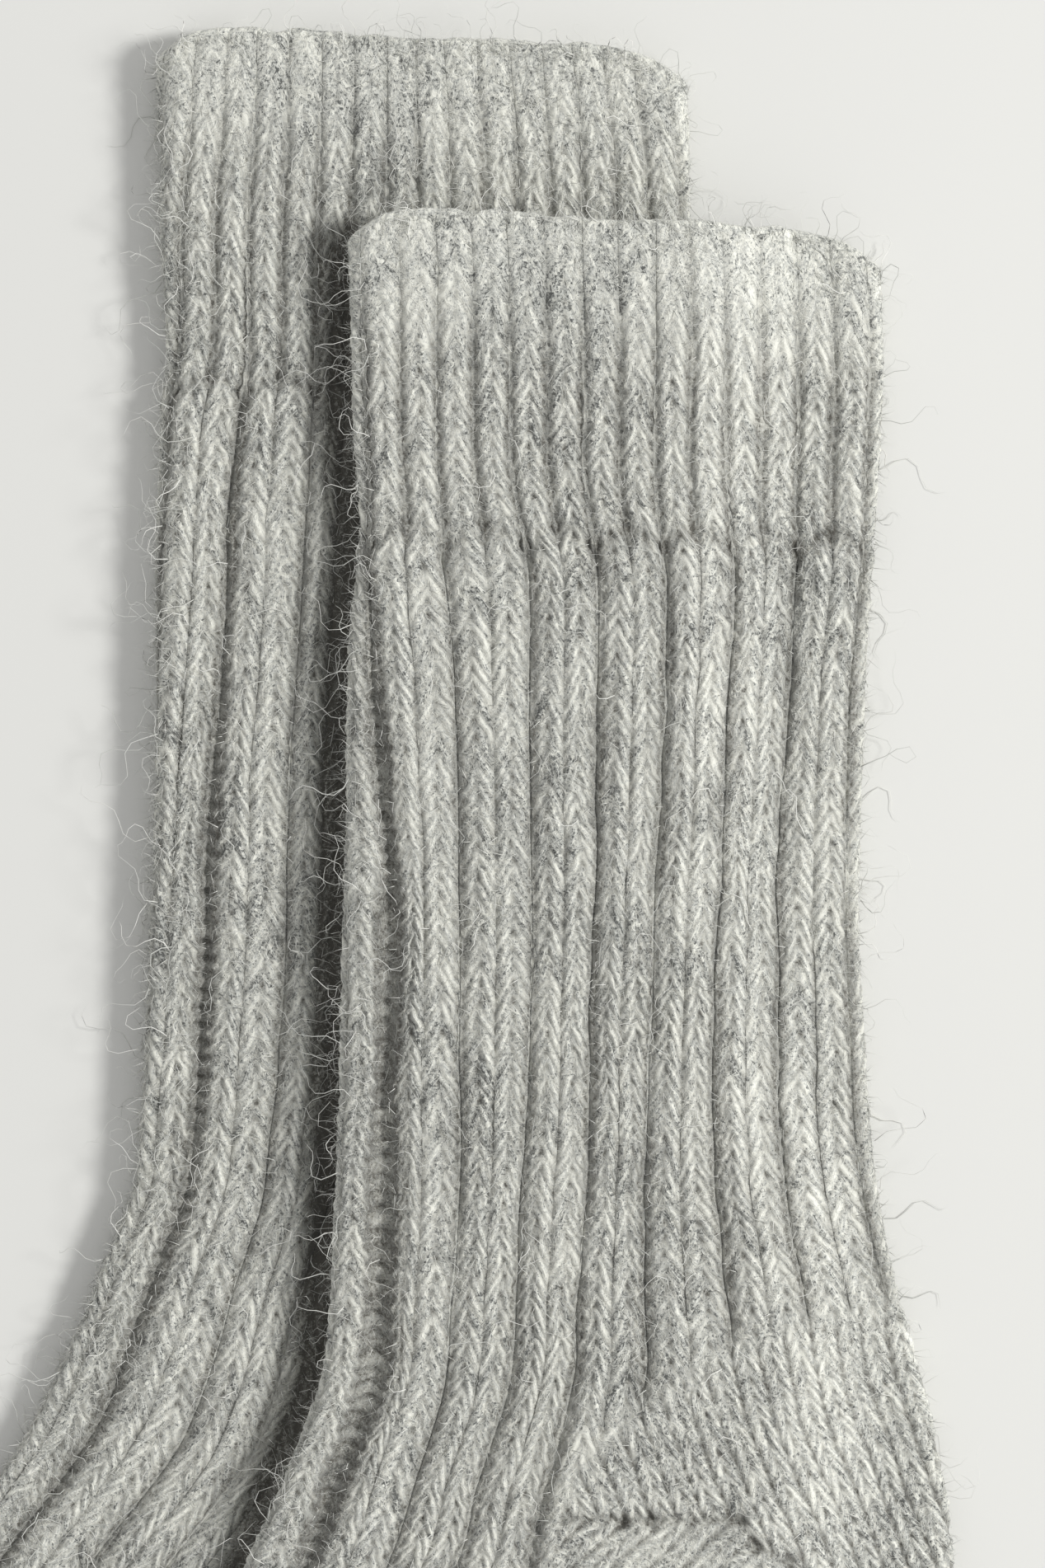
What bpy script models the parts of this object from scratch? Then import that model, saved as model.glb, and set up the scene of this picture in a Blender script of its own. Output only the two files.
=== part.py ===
"""A pair of ribbed wool socks lying flat, one on the other.

Each sock is a knitted tube pressed flat: an outer skin with raised ribs, a plain inner skin, and a thin
hollow between them that opens at the cuff. The foot points down and to the left. The front sock lies on the
rear one and comes down to the table beside it. Metres, +Z up, the foot of the pair towards -Y.
"""

import math

import bpy
import numpy as np

MM = 0.001

# The flat sock seen from above, in millimetres from the top of its front crease: a row for each section
# from the cuff to the start of the toe. The front crease runs down the shin and the instep, the back
# crease down the calf, round the heel and along the sole. "thick" is the folded sock in its gutters.
SECTION_COLUMNS = ("front_x", "front_y", "back_x", "back_y", "thick", "hollow")
SECTIONS_MM = (
    (0.0, 0.0, 79.6, -3.6, 6.4, 2.4),
    (0.2, -14.0, 80.2, -17.6, 6.3, 1.6),
    (0.4, -28.2, 79.8, -31.4, 6.2, 1.0),
    (1.4, -45.4, 78.8, -46.6, 6.2, 1.0),
    (0.4, -57.0, 78.2, -58.0, 6.4, 1.0),
    (-0.4, -78.0, 77.2, -79.0, 6.4, 1.0),
    (-0.8, -103.0, 76.6, -104.0, 6.4, 1.0),
    (-1.4, -128.0, 77.8, -129.0, 6.4, 1.0),
    (-2.0, -147.0, 79.8, -147.6, 6.2, 1.0),
    (-2.6, -161.6, 82.8, -162.4, 6.0, 1.0),
    (-3.8, -172.8, 86.8, -176.2, 5.8, 1.0),
    (-6.4, -180.4, 89.6, -190.0, 5.8, 1.0),
    (-9.6, -188.0, 91.2, -202.4, 5.8, 1.0),
    (-12.8, -195.8, 91.6, -212.2, 5.8, 1.0),
    (-16.2, -203.6, 89.8, -221.4, 5.8, 1.0),
    (-18.8, -208.8, 85.6, -230.4, 5.8, 1.0),
    (-21.6, -213.4, 77.8, -240.0, 5.8, 1.0),
    (-24.6, -218.0, 66.6, -252.4, 5.8, 1.0),
    (-28.4, -223.2, 52.8, -270.0, 5.8, 1.0),
    (-33.0, -229.4, 38.0, -289.0, 5.8, 1.0),
)
FOOT_ANGLE = math.radians(50)  # how far the foot points below the level
FOOT_STRAIGHT = 106 * MM  # from the last section above to the start of the toe
FOOT_SLIMMING = 2 * MM  # how much narrower the foot is at the toe
TOE_LENGTH = 50 * MM
TOE_ROUNDNESS = 2.3  # power of the toe's outline: 2 is an ellipse
TOE_THICK = 3.2 * MM  # the folded sock at the tip of the toe
TOE_TIP_WIDTH = 0.16  # of the foot's width, where the outline ends in a fan of faces
TOE_TIP_REACH = 1.3 * MM  # from there to the middle of the fan
MOUTH_BOW = 2.4 * MM  # how far the cuff's edge bows up in the middle
MOUTH_CORNER = 2.4 * MM  # how far it rounds down at its corners
SWELL = 0.5 * MM  # how far the upper side swells in the middle

# The knitting, counted in stitches round the sock from the front crease.
STITCHES_ROUND = 68
CUFF_RIB_STITCHES = 2
LEG_RIB_STITCHES = 4
INSTEP_STITCHES = 16  # on each side of the front crease, ribbed all the way to the toe
FOOT_INSTEP_SHARE = 0.41  # the ribs draw the instep in to this share of the foot's width
CUFF_RELIEF = 0.6 * MM
LEG_RELIEF = 0.9 * MM
POINTS_A_STITCH = 1.5
RIBBED_TO_STITCH = 36  # the ribs are raised over the upper side and round both creases
UNDERSIDE_STITCHES = (37, 40, 44, 48, 52, 56, 60, 64, 66, 67)
INNER_POINTS = 26

# Section numbers, counted down the table above and on through the toe.
CUFF_END = 3.0
HEEL_START = 9.4
HEEL_FULL = 10.6
ANKLE_START = 8.5
ANKLE_END = 12.0
STEPS_A_ROW = 2
FOOT_STEPS = 5
TOE_STEPS = 7
TOE_START = len(SECTIONS_MM) - 1 + FOOT_STEPS

# The rear sock lies up and to the left, under the front one.
REAR_SHIFT = (-29.4 * MM, 28.1 * MM)
GAP = 0.3 * MM
DRAPE_MARGIN = 1.5 * MM  # the front sock starts to come down this far outside the rear one
DRAPE_LENGTH = 19 * MM  # and reaches the table this much further on

WOOL_COLOUR = (0.42, 0.43, 0.40, 1.0)
WOOL_ROUGHNESS = 0.95


def clear_scene():
    for thing in list(bpy.data.objects):
        bpy.data.objects.remove(thing, do_unlink=True)


def smoothstep(value, low, high):
    """0 below low, 1 above high and a smooth S between them."""
    part = np.clip((value - low) / (high - low), 0.0, 1.0)
    return part * part * (3.0 - 2.0 * part)


def through_rows(rows, steps):
    """Sections along a smooth curve through the rows: a Catmull-Rom spline with this many steps a row."""
    ends = np.vstack([2 * rows[0] - rows[1], rows, 2 * rows[-1] - rows[-2]])
    number = np.arange((len(rows) - 1) * steps + 1) / steps
    start = np.minimum(number.astype(int), len(rows) - 2)
    part = (number - start)[:, None]
    before, first, second, after = (ends[start + k] for k in range(4))
    bend = 2 * before - 5 * first + 4 * second - after
    twist = 3 * first - before - 3 * second + after
    return first + 0.5 * part * (second - before + part * (bend + part * twist))


def foot_sections(last):
    """The straight foot and the rounded toe, a row of the same columns for each section."""
    along = np.array([-math.cos(FOOT_ANGLE), -math.sin(FOOT_ANGLE)])
    front, back = last[:2], last[2:4]
    width = np.linalg.norm(back - front)
    across = (back - front) / width
    straight = np.linspace(0, 1, FOOT_STEPS + 1)[1:]
    tip_reach = (1 - TOE_TIP_WIDTH**TOE_ROUNDNESS) ** (1 / TOE_ROUNDNESS)
    toe = np.sin(np.linspace(0, math.asin(tip_reach), TOE_STEPS + 1))[1:]
    distance = np.concatenate([straight * FOOT_STRAIGHT, FOOT_STRAIGHT + toe * TOE_LENGTH])
    slim = FOOT_SLIMMING * np.minimum(distance / FOOT_STRAIGHT, 1)
    narrow = np.concatenate([np.ones(FOOT_STEPS), (1 - toe**TOE_ROUNDNESS) ** (1 / TOE_ROUNDNESS)])
    half = (width - slim) / 2 * narrow
    middle = front + across * width / 2 + along * distance[:, None]
    thick = TOE_THICK + (last[4] - TOE_THICK) * np.sqrt(narrow)
    hollow = np.full(len(half), last[5])
    reach = across * half[:, None]
    return np.column_stack([middle - reach, middle + reach, thick, hollow])


def sock_sections():
    """(sections, number): a row for each section in metres, and its number in the table of sections."""
    rows = np.array(SECTIONS_MM) * MM
    upper = through_rows(rows, STEPS_A_ROW)
    foot = foot_sections(upper[-1])
    number = np.arange(len(upper)) / STEPS_A_ROW
    foot_number = number[-1] + 1 + np.arange(len(foot))
    return np.vstack([upper, foot]), np.concatenate([number, foot_number])


def place_on_side(stitch, number):
    """Where a stitch lies round the flat sock: 0 on the front crease, 1 on the back crease, 2 back again."""
    half = STITCHES_ROUND / 2
    folded = np.where(stitch > half, STITCHES_ROUND - stitch, stitch)
    on_leg = folded / half
    on_instep = folded / INSTEP_STITCHES * FOOT_INSTEP_SHARE
    sole = (folded - INSTEP_STITCHES) / (half - INSTEP_STITCHES)
    on_sole = FOOT_INSTEP_SHARE + (1 - FOOT_INSTEP_SHARE) * sole
    on_foot = np.where(folded < INSTEP_STITCHES, on_instep, on_sole)
    place = on_leg + (on_foot - on_leg) * smoothstep(number, ANKLE_START, ANKLE_END)
    return np.where(stitch > half, 2 - place, place)


def rib_height(stitch, number):
    """How far the ribs stand out: one stitch wide in the cuff, two in the leg, none on the heel and sole."""
    in_cuff = np.sin(np.pi * stitch / CUFF_RIB_STITCHES) ** 2
    phase = np.mod(stitch, LEG_RIB_STITCHES)
    crest = np.abs(np.sin(np.pi * phase / LEG_RIB_STITCHES)) ** 0.35
    dip = 0.12 * np.exp(-(((phase - LEG_RIB_STITCHES / 2) / 0.5) ** 2))
    in_leg = crest * (1 - dip)
    below_cuff = smoothstep(number, CUFF_END - 0.25, CUFF_END + 0.25)
    from_crease = np.minimum(stitch, STITCHES_ROUND - stitch)
    plain = smoothstep(from_crease, INSTEP_STITCHES, INSTEP_STITCHES + 1)
    plain = plain * smoothstep(number, HEEL_START, HEEL_FULL)
    toe = smoothstep(number, TOE_START - 0.5, TOE_START + 1)
    height = in_cuff * CUFF_RELIEF * (1 - below_cuff) + in_leg * LEG_RELIEF * below_cuff
    level = LEG_RELIEF * 0.55
    return height + (level - height) * np.maximum(plain, toe)


def flat_ring(place, width, thick):
    """Points round a flattened tube with half-round creases: (across, up, outward across, outward up)."""
    radius = thick / 2
    quarter = math.pi * radius / 2
    side = np.where(place > 1, 2 - place, place)
    length = 2 * quarter + width - thick
    run = side * length
    turn = np.minimum(run, quarter) / radius - np.maximum(run - (length - quarter), 0) / radius
    across = radius * (1 - np.cos(np.minimum(run, quarter) / radius))
    across = across + np.clip(run - quarter, 0, width - thick)
    across = across + radius * np.sin(np.maximum(run - (length - quarter), 0) / radius)
    rise = np.sin(np.clip(turn, 0, math.pi / 2))
    lean = np.cos(np.clip(turn, 0, math.pi / 2))
    outward = np.where(run < length / 2, -lean, lean)
    upper = np.where(place > 1, -1.0, 1.0)
    return across, radius + upper * radius * rise, outward, upper * rise


def outline_of(sections):
    """The closed outline of a sock from above, down the front crease and back up the other."""
    return np.vstack([sections[:, :2], sections[::-1, 2:4]])


def outside_distance(points, outline):
    """How far each point lies outside a closed outline, 0 inside it."""
    ahead = np.roll(outline, -1, axis=0)
    edge = ahead - outline
    best = np.full(len(points), np.inf)
    inside = np.zeros(len(points), bool)
    for start, end, run in zip(outline, ahead, edge):
        offset = points - start
        share = np.clip(offset @ run / (run @ run), 0, 1)
        best = np.minimum(best, np.linalg.norm(offset - share[:, None] * run, axis=1))
        straddles = (start[1] > points[:, 1]) != (end[1] > points[:, 1])
        if abs(run[1]) > 0:
            crossing = start[0] + (points[:, 1] - start[1]) / run[1] * run[0]
            inside ^= straddles & (points[:, 0] < crossing)
    return np.where(inside, 0.0, best)


def lift_over(points, outline, height):
    """How high a cloth lies that rests on the outline's sock and comes down to the table beside it."""
    beyond = outside_distance(points, outline)
    return height * (1 - smoothstep(beyond, DRAPE_MARGIN, DRAPE_MARGIN + DRAPE_LENGTH))


def mouth_rise(across_share, number):
    """The cuff's edge bows up and rounds down at its corners, and the sections below it less and less."""
    from_middle = np.abs(2 * across_share - 1)
    rise = MOUTH_BOW * (1 - from_middle**4) - MOUTH_CORNER * from_middle**14
    return rise * (1 - smoothstep(number, 0, 2))


def ring_points(section, number, place, stitch, inner):
    """The points of one section in the sock's own frame: the outer skin, or the plain inner skin."""
    front, back, thick, hollow = section[:2], section[2:4], section[4], section[5]
    width = np.linalg.norm(back - front)
    wall = (thick - hollow) / 2
    if inner:
        across, up, _, _ = flat_ring(place, width - 2 * wall, hollow)
        across, up = across + wall, up + wall
    else:
        across, up, out_across, out_up = flat_ring(place, width, thick)
        above = smoothstep(up / thick, 0.3, 0.6)
        height = rib_height(stitch, number) * above
        across, up = across + out_across * height, up + out_up * height
    share = np.clip(across / width, 0, 1)
    up = up + SWELL * np.sin(np.pi * share) * smoothstep(up / thick, 0.42, 0.58)
    plan = front + (back - front) * (across / width)[:, None]
    plan[:, 1] += mouth_rise(share, number)
    return np.column_stack([plan, up])


def zip_rings(outer, inner):
    """Triangles between two closed rings of unlike counts, (point number, place) pairs in the same turn."""
    faces = []
    i = j = 0
    while i < len(outer) or j < len(inner):
        next_outer = outer[i + 1][1] if i + 1 < len(outer) else 2.0
        next_inner = inner[j + 1][1] if j + 1 < len(inner) else 2.0
        here, there = outer[i % len(outer)][0], inner[j % len(inner)][0]
        if j >= len(inner) or (i < len(outer) and next_outer <= next_inner):
            faces.append((here, outer[(i + 1) % len(outer)][0], there))
            i += 1
        else:
            faces.append((here, inner[(j + 1) % len(inner)][0], there))
            j += 1
    return faces


def tube_faces(first, rings, count):
    """Quads along a tube of rings that each have this many points, starting at point number first."""
    faces = []
    for ring in range(rings - 1):
        for k in range(count):
            here = first + ring * count
            beside = (k + 1) % count
            faces.append((here + k, here + count + k, here + count + beside, here + beside))
    return faces


def outer_stitches():
    ribbed = np.arange(round(RIBBED_TO_STITCH * POINTS_A_STITCH)) / POINTS_A_STITCH
    return np.concatenate([ribbed, UNDERSIDE_STITCHES])


def sock_mesh(shift, support):
    """(points, faces) of one sock: an outer and an inner skin, each closed at the toe, and the cuff's rim."""
    sections, number = sock_sections()
    stitch = outer_stitches()
    inner_place = np.arange(INNER_POINTS) * 2 / INNER_POINTS
    outer_count, inner_count = len(stitch), INNER_POINTS
    outer_rings = [
        ring_points(s, n, place_on_side(stitch, n), stitch, False) for s, n in zip(sections, number)
    ]
    inner_rings = [
        ring_points(s, n, inner_place, None, True) for s, n in zip(sections[:-2], number[:-2])
    ]
    beyond = np.array([-math.cos(FOOT_ANGLE), -math.sin(FOOT_ANGLE), 0]) * TOE_TIP_REACH
    outer_tip = outer_rings[-1].mean(axis=0) + beyond
    inner_tip = inner_rings[-1].mean(axis=0) + beyond
    points = np.vstack(outer_rings + inner_rings + [outer_tip, inner_tip])
    points[:, :2] += shift
    points[:, 2] += support(points[:, :2])

    first_inner = len(sections) * outer_count
    faces = tube_faces(0, len(sections), outer_count)
    faces += [face[::-1] for face in tube_faces(first_inner, len(inner_rings), inner_count)]
    last_outer = first_inner - outer_count
    last_inner = first_inner + (len(inner_rings) - 1) * inner_count
    tips = len(points) - 2
    faces += [(last_outer + k, tips, last_outer + (k + 1) % outer_count) for k in range(outer_count)]
    faces += [(last_inner + (k + 1) % inner_count, tips + 1, last_inner + k) for k in range(inner_count)]
    rim = zip_rings(
        list(zip(range(outer_count), place_on_side(stitch, 0.0))),
        list(zip(range(first_inner, first_inner + inner_count), inner_place)),
    )
    return points, faces + rim


def wool_material(name):
    material = bpy.data.materials.new(name)
    material.use_nodes = True
    shader = material.node_tree.nodes["Principled BSDF"]
    shader.inputs["Base Color"].default_value = WOOL_COLOUR
    shader.inputs["Roughness"].default_value = WOOL_ROUGHNESS
    material.diffuse_color = WOOL_COLOUR
    return material


def add_sock(name, points, faces, collection):
    mesh = bpy.data.meshes.new(name)
    mesh.from_pydata(points.tolist(), [], faces)
    mesh.validate()
    mesh.shade_smooth()
    sock = bpy.data.objects.new(name, mesh)
    sock.data.materials.append(wool_material(name + "_wool"))
    collection.objects.link(sock)
    return sock


def main():
    clear_scene()
    collection = bpy.data.collections.new("pair_of_wool_socks")
    bpy.context.scene.collection.children.link(collection)
    rear_shift = np.array(REAR_SHIFT)
    rear_points, rear_faces = sock_mesh(rear_shift, lambda plan: np.zeros(len(plan)))
    rear_outline = outline_of(sock_sections()[0]) + rear_shift
    rest_height = rear_points[:, 2].max() + GAP
    front_points, front_faces = sock_mesh(
        np.zeros(2), lambda plan: lift_over(plan, rear_outline, rest_height)
    )
    both = np.vstack([rear_points, front_points])
    middle = (both.min(axis=0) + both.max(axis=0)) / 2
    middle[2] = both[:, 2].min()
    add_sock("sock_rear", rear_points - middle, rear_faces, collection)
    add_sock("sock_front", front_points - middle, front_faces, collection)


main()
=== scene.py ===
"""The looks of a pair of ribbed wool socks that lie flat, one on the other.

Each sock is a knitted skin in five bands from the cuff to the toe, with every stitch raised in it, and a
halo of loose wool fibres. The skin follows the folded tube of its solid. The sock's own frame has its
origin at the top of the front crease, with +Y towards the cuff. Metres, +Z up.
"""

import math

import bpy
import numpy as np
from bpy.props import FloatProperty, FloatVectorProperty, IntProperty, PointerProperty
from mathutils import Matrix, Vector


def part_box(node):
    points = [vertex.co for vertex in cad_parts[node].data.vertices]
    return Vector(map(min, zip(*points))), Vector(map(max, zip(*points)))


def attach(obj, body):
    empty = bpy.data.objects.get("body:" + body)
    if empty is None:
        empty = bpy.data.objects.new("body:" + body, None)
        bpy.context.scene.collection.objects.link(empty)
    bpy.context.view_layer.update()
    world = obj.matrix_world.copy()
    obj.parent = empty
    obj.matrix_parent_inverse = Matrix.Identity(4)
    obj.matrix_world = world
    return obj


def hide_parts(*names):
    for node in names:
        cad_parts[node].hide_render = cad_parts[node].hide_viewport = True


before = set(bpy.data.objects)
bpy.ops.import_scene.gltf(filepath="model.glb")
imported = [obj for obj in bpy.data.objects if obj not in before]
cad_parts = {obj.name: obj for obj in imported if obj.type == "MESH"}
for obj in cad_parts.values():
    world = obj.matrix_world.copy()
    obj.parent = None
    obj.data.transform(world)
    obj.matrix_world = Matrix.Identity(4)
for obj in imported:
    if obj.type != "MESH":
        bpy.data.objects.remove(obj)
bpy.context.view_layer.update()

bl_info = {
    "name": "Pair of ribbed wool socks",
    "version": (1, 0, 0),
    "blender": (4, 5, 0),
    "location": "3D View > Sidebar > Socks",
    "description": "Knits two ribbed wool socks over their solids, with loose fibres, a table and a light",
    "category": "Add Mesh",
}

MM = 0.001

# The folded sock: the same sections as its solid has, in millimetres.
SECTION_COLUMNS = ("front_x", "front_y", "back_x", "back_y", "thick", "hollow")
SECTIONS_MM = (
    (0.0, 0.0, 79.6, -3.6, 6.4, 2.4),
    (0.2, -14.0, 80.2, -17.6, 6.3, 1.6),
    (0.4, -28.2, 79.8, -31.4, 6.2, 1.0),
    (1.4, -45.4, 78.8, -46.6, 6.2, 1.0),
    (0.4, -57.0, 78.2, -58.0, 6.4, 1.0),
    (-0.4, -78.0, 77.2, -79.0, 6.4, 1.0),
    (-0.8, -103.0, 76.6, -104.0, 6.4, 1.0),
    (-1.4, -128.0, 77.8, -129.0, 6.4, 1.0),
    (-2.0, -147.0, 79.8, -147.6, 6.2, 1.0),
    (-2.6, -161.6, 82.8, -162.4, 6.0, 1.0),
    (-3.8, -172.8, 86.8, -176.2, 5.8, 1.0),
    (-6.4, -180.4, 89.6, -190.0, 5.8, 1.0),
    (-9.6, -188.0, 91.2, -202.4, 5.8, 1.0),
    (-12.8, -195.8, 91.6, -212.2, 5.8, 1.0),
    (-16.2, -203.6, 89.8, -221.4, 5.8, 1.0),
    (-18.8, -208.8, 85.6, -230.4, 5.8, 1.0),
    (-21.6, -213.4, 77.8, -240.0, 5.8, 1.0),
    (-24.6, -218.0, 66.6, -252.4, 5.8, 1.0),
    (-28.4, -223.2, 52.8, -270.0, 5.8, 1.0),
    (-33.0, -229.4, 38.0, -289.0, 5.8, 1.0),
)
LAST_ROW = len(SECTIONS_MM) - 1
FOOT_ANGLE = math.radians(50)
FOOT_STRAIGHT = 106 * MM
FOOT_SLIMMING = 2 * MM
TOE_LENGTH = 50 * MM
TOE_ROUNDNESS = 2.3
TOE_THICK = 3.2 * MM
TOE_TIP_WIDTH = 0.16
MOUTH_BOW = 2.4 * MM
MOUTH_CORNER = 2.4 * MM
SWELL = 0.5 * MM
SCATTER_FACTORS = (12.9898, 78.233, 37.719, 4.581)
SCATTER_SCALE = 43758.5453
FOOT_STEPS = 5
TOE_STEPS = 7
TOE_START = LAST_ROW + FOOT_STEPS
TOE_END = TOE_START + TOE_STEPS

# Stitches round the sock, counted from the front crease.
STITCHES_ROUND = 68
CUFF_RIB_STITCHES = 2
LEG_RIB_STITCHES = 4
INSTEP_STITCHES = 16
FOOT_INSTEP_SHARE = 0.41
CUFF_RELIEF = 0.6 * MM
LEG_RELIEF = 0.9 * MM
CUFF_END = 3.0
REAR_CUFF_END = 3.45
HEEL_START = 9.4
HEEL_FULL = 10.6
ANKLE_START = 8.5
ANKLE_END = 12.0
SOLID_STITCHES = np.concatenate([np.arange(54) / 1.5, (37, 40, 44, 48, 52, 56, 60, 64, 66, 67)])
SOLID_STEPS_A_ROW = 2

REAR_SHIFT = (-29.4 * MM, 28.1 * MM)
GAP = 0.3 * MM
DRAPE_MARGIN = 1.5 * MM
DRAPE_LENGTH = 19 * MM

# The knitting. Courses are counted down the sock, columns of stitches round it.
COURSE = 2.62 * MM
COURSE_PLACE = 0.2  # where round the sock, as a share of its face, the courses are measured
GUTTER_POINTS = (-0.66, -0.33, 0.0, 0.33, 0.66)
OPEN_GUTTER_POINTS = (-0.8, -0.6, -0.4, -0.2, 0.0, 0.2, 0.4, 0.6, 0.8)
UNDERSIDE_POINTS = 26
OPEN_GUTTER = 2  # the gutter near the front crease, where the ribs part and the purl side shows
GUTTER_HALF_WIDTH = 0.13
COLUMN_HALF_GAP = 0.02
CUFF_HALF_GAP = 0.10
SCALLOP = 0.2  # how much a gutter widens between two stitches
STITCH_MM = 2.4
FELTED_COURSES = 9  # the courses under the cuff's edge that are felted smooth
PIT_WIDTH = 0.2
PIT_LENGTH = 0.26
FINGER_ROUNDING = 0.2  # how much lower the ribs of the leg start at their edges, in sections
FINGER_LIP = 0.36 * MM
FINGER_DIP = 0.42 * MM
LEG_SHOULDER = 1.6
CUFF_SHOULDER = 0.85
MIDDLE_REACH = 0.5  # of the groove between the two columns of a rib, in stitches
MIDDLE_DEPTH = 0.32 * MM
CUFF_GROOVE = 0.7 * MM
HEEL_FROM_COLUMN = 8
HEEL_END = 15.0
EVEN_OVER = (10.0, 11.0)
IN_COLUMN, IN_GUTTER, UNDERNEATH = range(3)
RIM_RINGS = 9
INSIDE_RINGS = 12
INSIDE_DEPTH = 1.6

# Where the cuff's columns lie, in stitches round the sock: the start of column 2 and the width of a column.
CUFF_COLUMNS = ("number", "second_start", "column_width")
FRONT_CUFF = ((0.0, 1.35, 2.23), (3.0, 1.35, 2.24))
REAR_CUFF = ((0.0, 6.9, 1.94), (3.0, 5.7, 2.17))

# Where the leg's gutters lie, in stitches round the sock, at section numbers down it.
GUTTER_COLUMNS = (
    "number", "under", "open", "second", "third", "fourth", "fifth", "sixth", "seventh", "eighth", "back",
)
FRONT_GUTTERS = (
    (3.4, -3.3, 0.9, 6.2, 11.6, 15.9, 20.3, 24.6, 28.6, 33.0, 37.4),
    (4.7, -2.6, 2.3, 7.4, 12.2, 16.5, 20.6, 24.7, 28.4, 32.6, 37.2),
    (6.0, -2.0, 3.4, 8.0, 12.6, 16.5, 20.4, 24.3, 28.2, 32.7, 37.2),
    (7.3, -1.8, 3.5, 8.0, 12.1, 15.9, 19.5, 23.7, 27.6, 32.5, 37.2),
    (8.9, -2.0, 3.3, 7.6, 11.2, 14.8, 18.6, 23.5, 27.8, 32.8, 37.2),
)
REAR_GUTTERS = (
    (3.4, 1.2, 5.7, 10.1, 14.4, 18.6, 22.6, 26.6, 30.6, 34.6, 38.4),
    (4.9, 0.8, 5.4, 10.0, 14.2, 18.4, 22.4, 26.4, 30.4, 34.4, 38.2),
    (6.1, 0.2, 4.6, 9.5, 13.8, 18.0, 22.0, 26.0, 30.0, 34.0, 38.0),
    (7.4, -0.2, 4.2, 9.2, 13.4, 17.6, 21.6, 25.6, 29.6, 33.6, 37.6),
    (9.3, -0.5, 3.6, 8.2, 12.0, 16.0, 20.0, 24.0, 28.0, 32.0, 36.5),
)
GUTTER_WEIGHTS = ((0, 0.8), (4, 0.75), (6, 0.75), (8, 0.85), (16, 0.8))  # gutter, strength
REAR_OPEN_SHARE = 0.5  # how far the rear sock's gutter is open, as a share of the front one's
# Half the width of the open gutter, in stitches, at section numbers down it.
OPEN_HALF_WIDTHS = ((3.4, 0.26), (4.8, 0.42), (6.0, 0.60), (7.3, 0.72), (9.0, 0.75), (14.0, 0.5))

# Soft creases of the cloth, in millimetres of the sock's own frame, turned from +X in degrees.
CREASE_COLUMNS = ("x", "y", "turn", "half_length", "half_width", "depth")
CREASES_MM = (
    (6.0, -200.0, 38.0, 22.0, 4.5, 0.5),
    (0.0, -188.0, 26.0, 18.0, 4.0, 0.4),
    (14.0, -214.0, 48.0, 20.0, 5.0, 0.4),
    (52.0, -44.0, 4.0, 26.0, 5.0, 0.25),
    (30.0, -118.0, 82.0, 34.0, 9.0, 0.35),
    (64.0, -96.0, 96.0, 30.0, 8.0, -0.3),
    (48.0, -236.0, 30.0, 22.0, 6.0, 0.4),
    (-18.0, -262.0, 45.0, 20.0, 6.0, 0.5),
    (-40.0, -300.0, 30.0, 18.0, 6.0, 0.4),
)
PRESS_DEPTH = 3.4 * MM  # of the trough that the front sock's edge presses into the rear one
PRESS_MIDDLE = -1.4 * MM
PRESS_FLAT = 0.8 * MM
PRESS_REACH = 5.4 * MM

# Where the ribs end above the heel and where the heel's two halves meet, in millimetres.
RIBS_END_MM = ((31.0, -190.0), (34.0, -187.0), (44.6, -177.0), (58.4, -166.6), (71.5, -163.8), (90.0, -158.0))
HEEL_FURROW = 0.4  # how far the heel drops between two columns, as a share of a stitch
GORE_MM = ((20.0, -194.6), (31.2, -194.6), (58.4, -195.0), (61.0, -199.0), (66.0, -201.6), (95.0, -227.0))
GORE_PITS_MM = (
    (31.2, -194.6), (40.8, -195.4), (45.0, -195.0), (58.4, -195.0), (60.9, -199.0), (66.1, -201.5),
)
HEEL_COLUMN_MM = 3.75
HEEL_COURSE_MM = 2.75
HEEL_SLANT = math.radians(22)
HEEL_SLANT_FROM_MM = 165.0
HEEL_SLANT_RAMP_MM = 8.0
SOLE_SLANT = math.radians(42)

# The bands of each sock: section numbers, millimetres between rings, columns round it, points across a
# column, and whether its gutters are finely made.
BAND_COLUMNS = ("start", "stop", "ring_spacing", "first_column", "last_column", "column_points", "fine")
BANDS = {
    ("front", "cuff"): (0.0, 3.0, 0.46, -1, 17, 15, True),
    ("rear", "cuff"): (0.0, 3.0, 0.47, -3, 16, 15, True),
    ("front", "leg"): (3.0, 8.5, 0.455, -1, 17, 15, True),
    ("rear", "leg"): (3.0, 8.5, 0.47, -3, 6, 15, True),
    ("front", "heel"): (8.5, 14.5, 0.375, -1, 17, 15, True),
    ("rear", "heel"): (8.5, 20.0, 0.5, -3, 6, 15, True),
    ("front", "foot"): (14.5, 24.0, 1.35, -1, 17, 5, False),
    ("rear", "foot"): (20.0, 24.0, 1.35, -1, 17, 5, False),
    ("front", "toe"): (24.0, TOE_END, 1.35, -1, 17, 5, False),
    ("rear", "toe"): (24.0, TOE_END, 1.35, -1, 17, 5, False),
}
FRONT_SEED, REAR_SEED = 11, 23

# The loose fibres, with lengths in millimetres and the bend as a spread in radians.
FIBRE_COLUMNS = ("seed", "points", "shortest", "longest", "bend", "width_share")
SHORT_FIBRES = (3, 3, 1.0, 3.8, 2.6, 1.0)
LONG_FIBRES = (5, 9, 5.0, 15.0, 2.4, 1.25)
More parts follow.
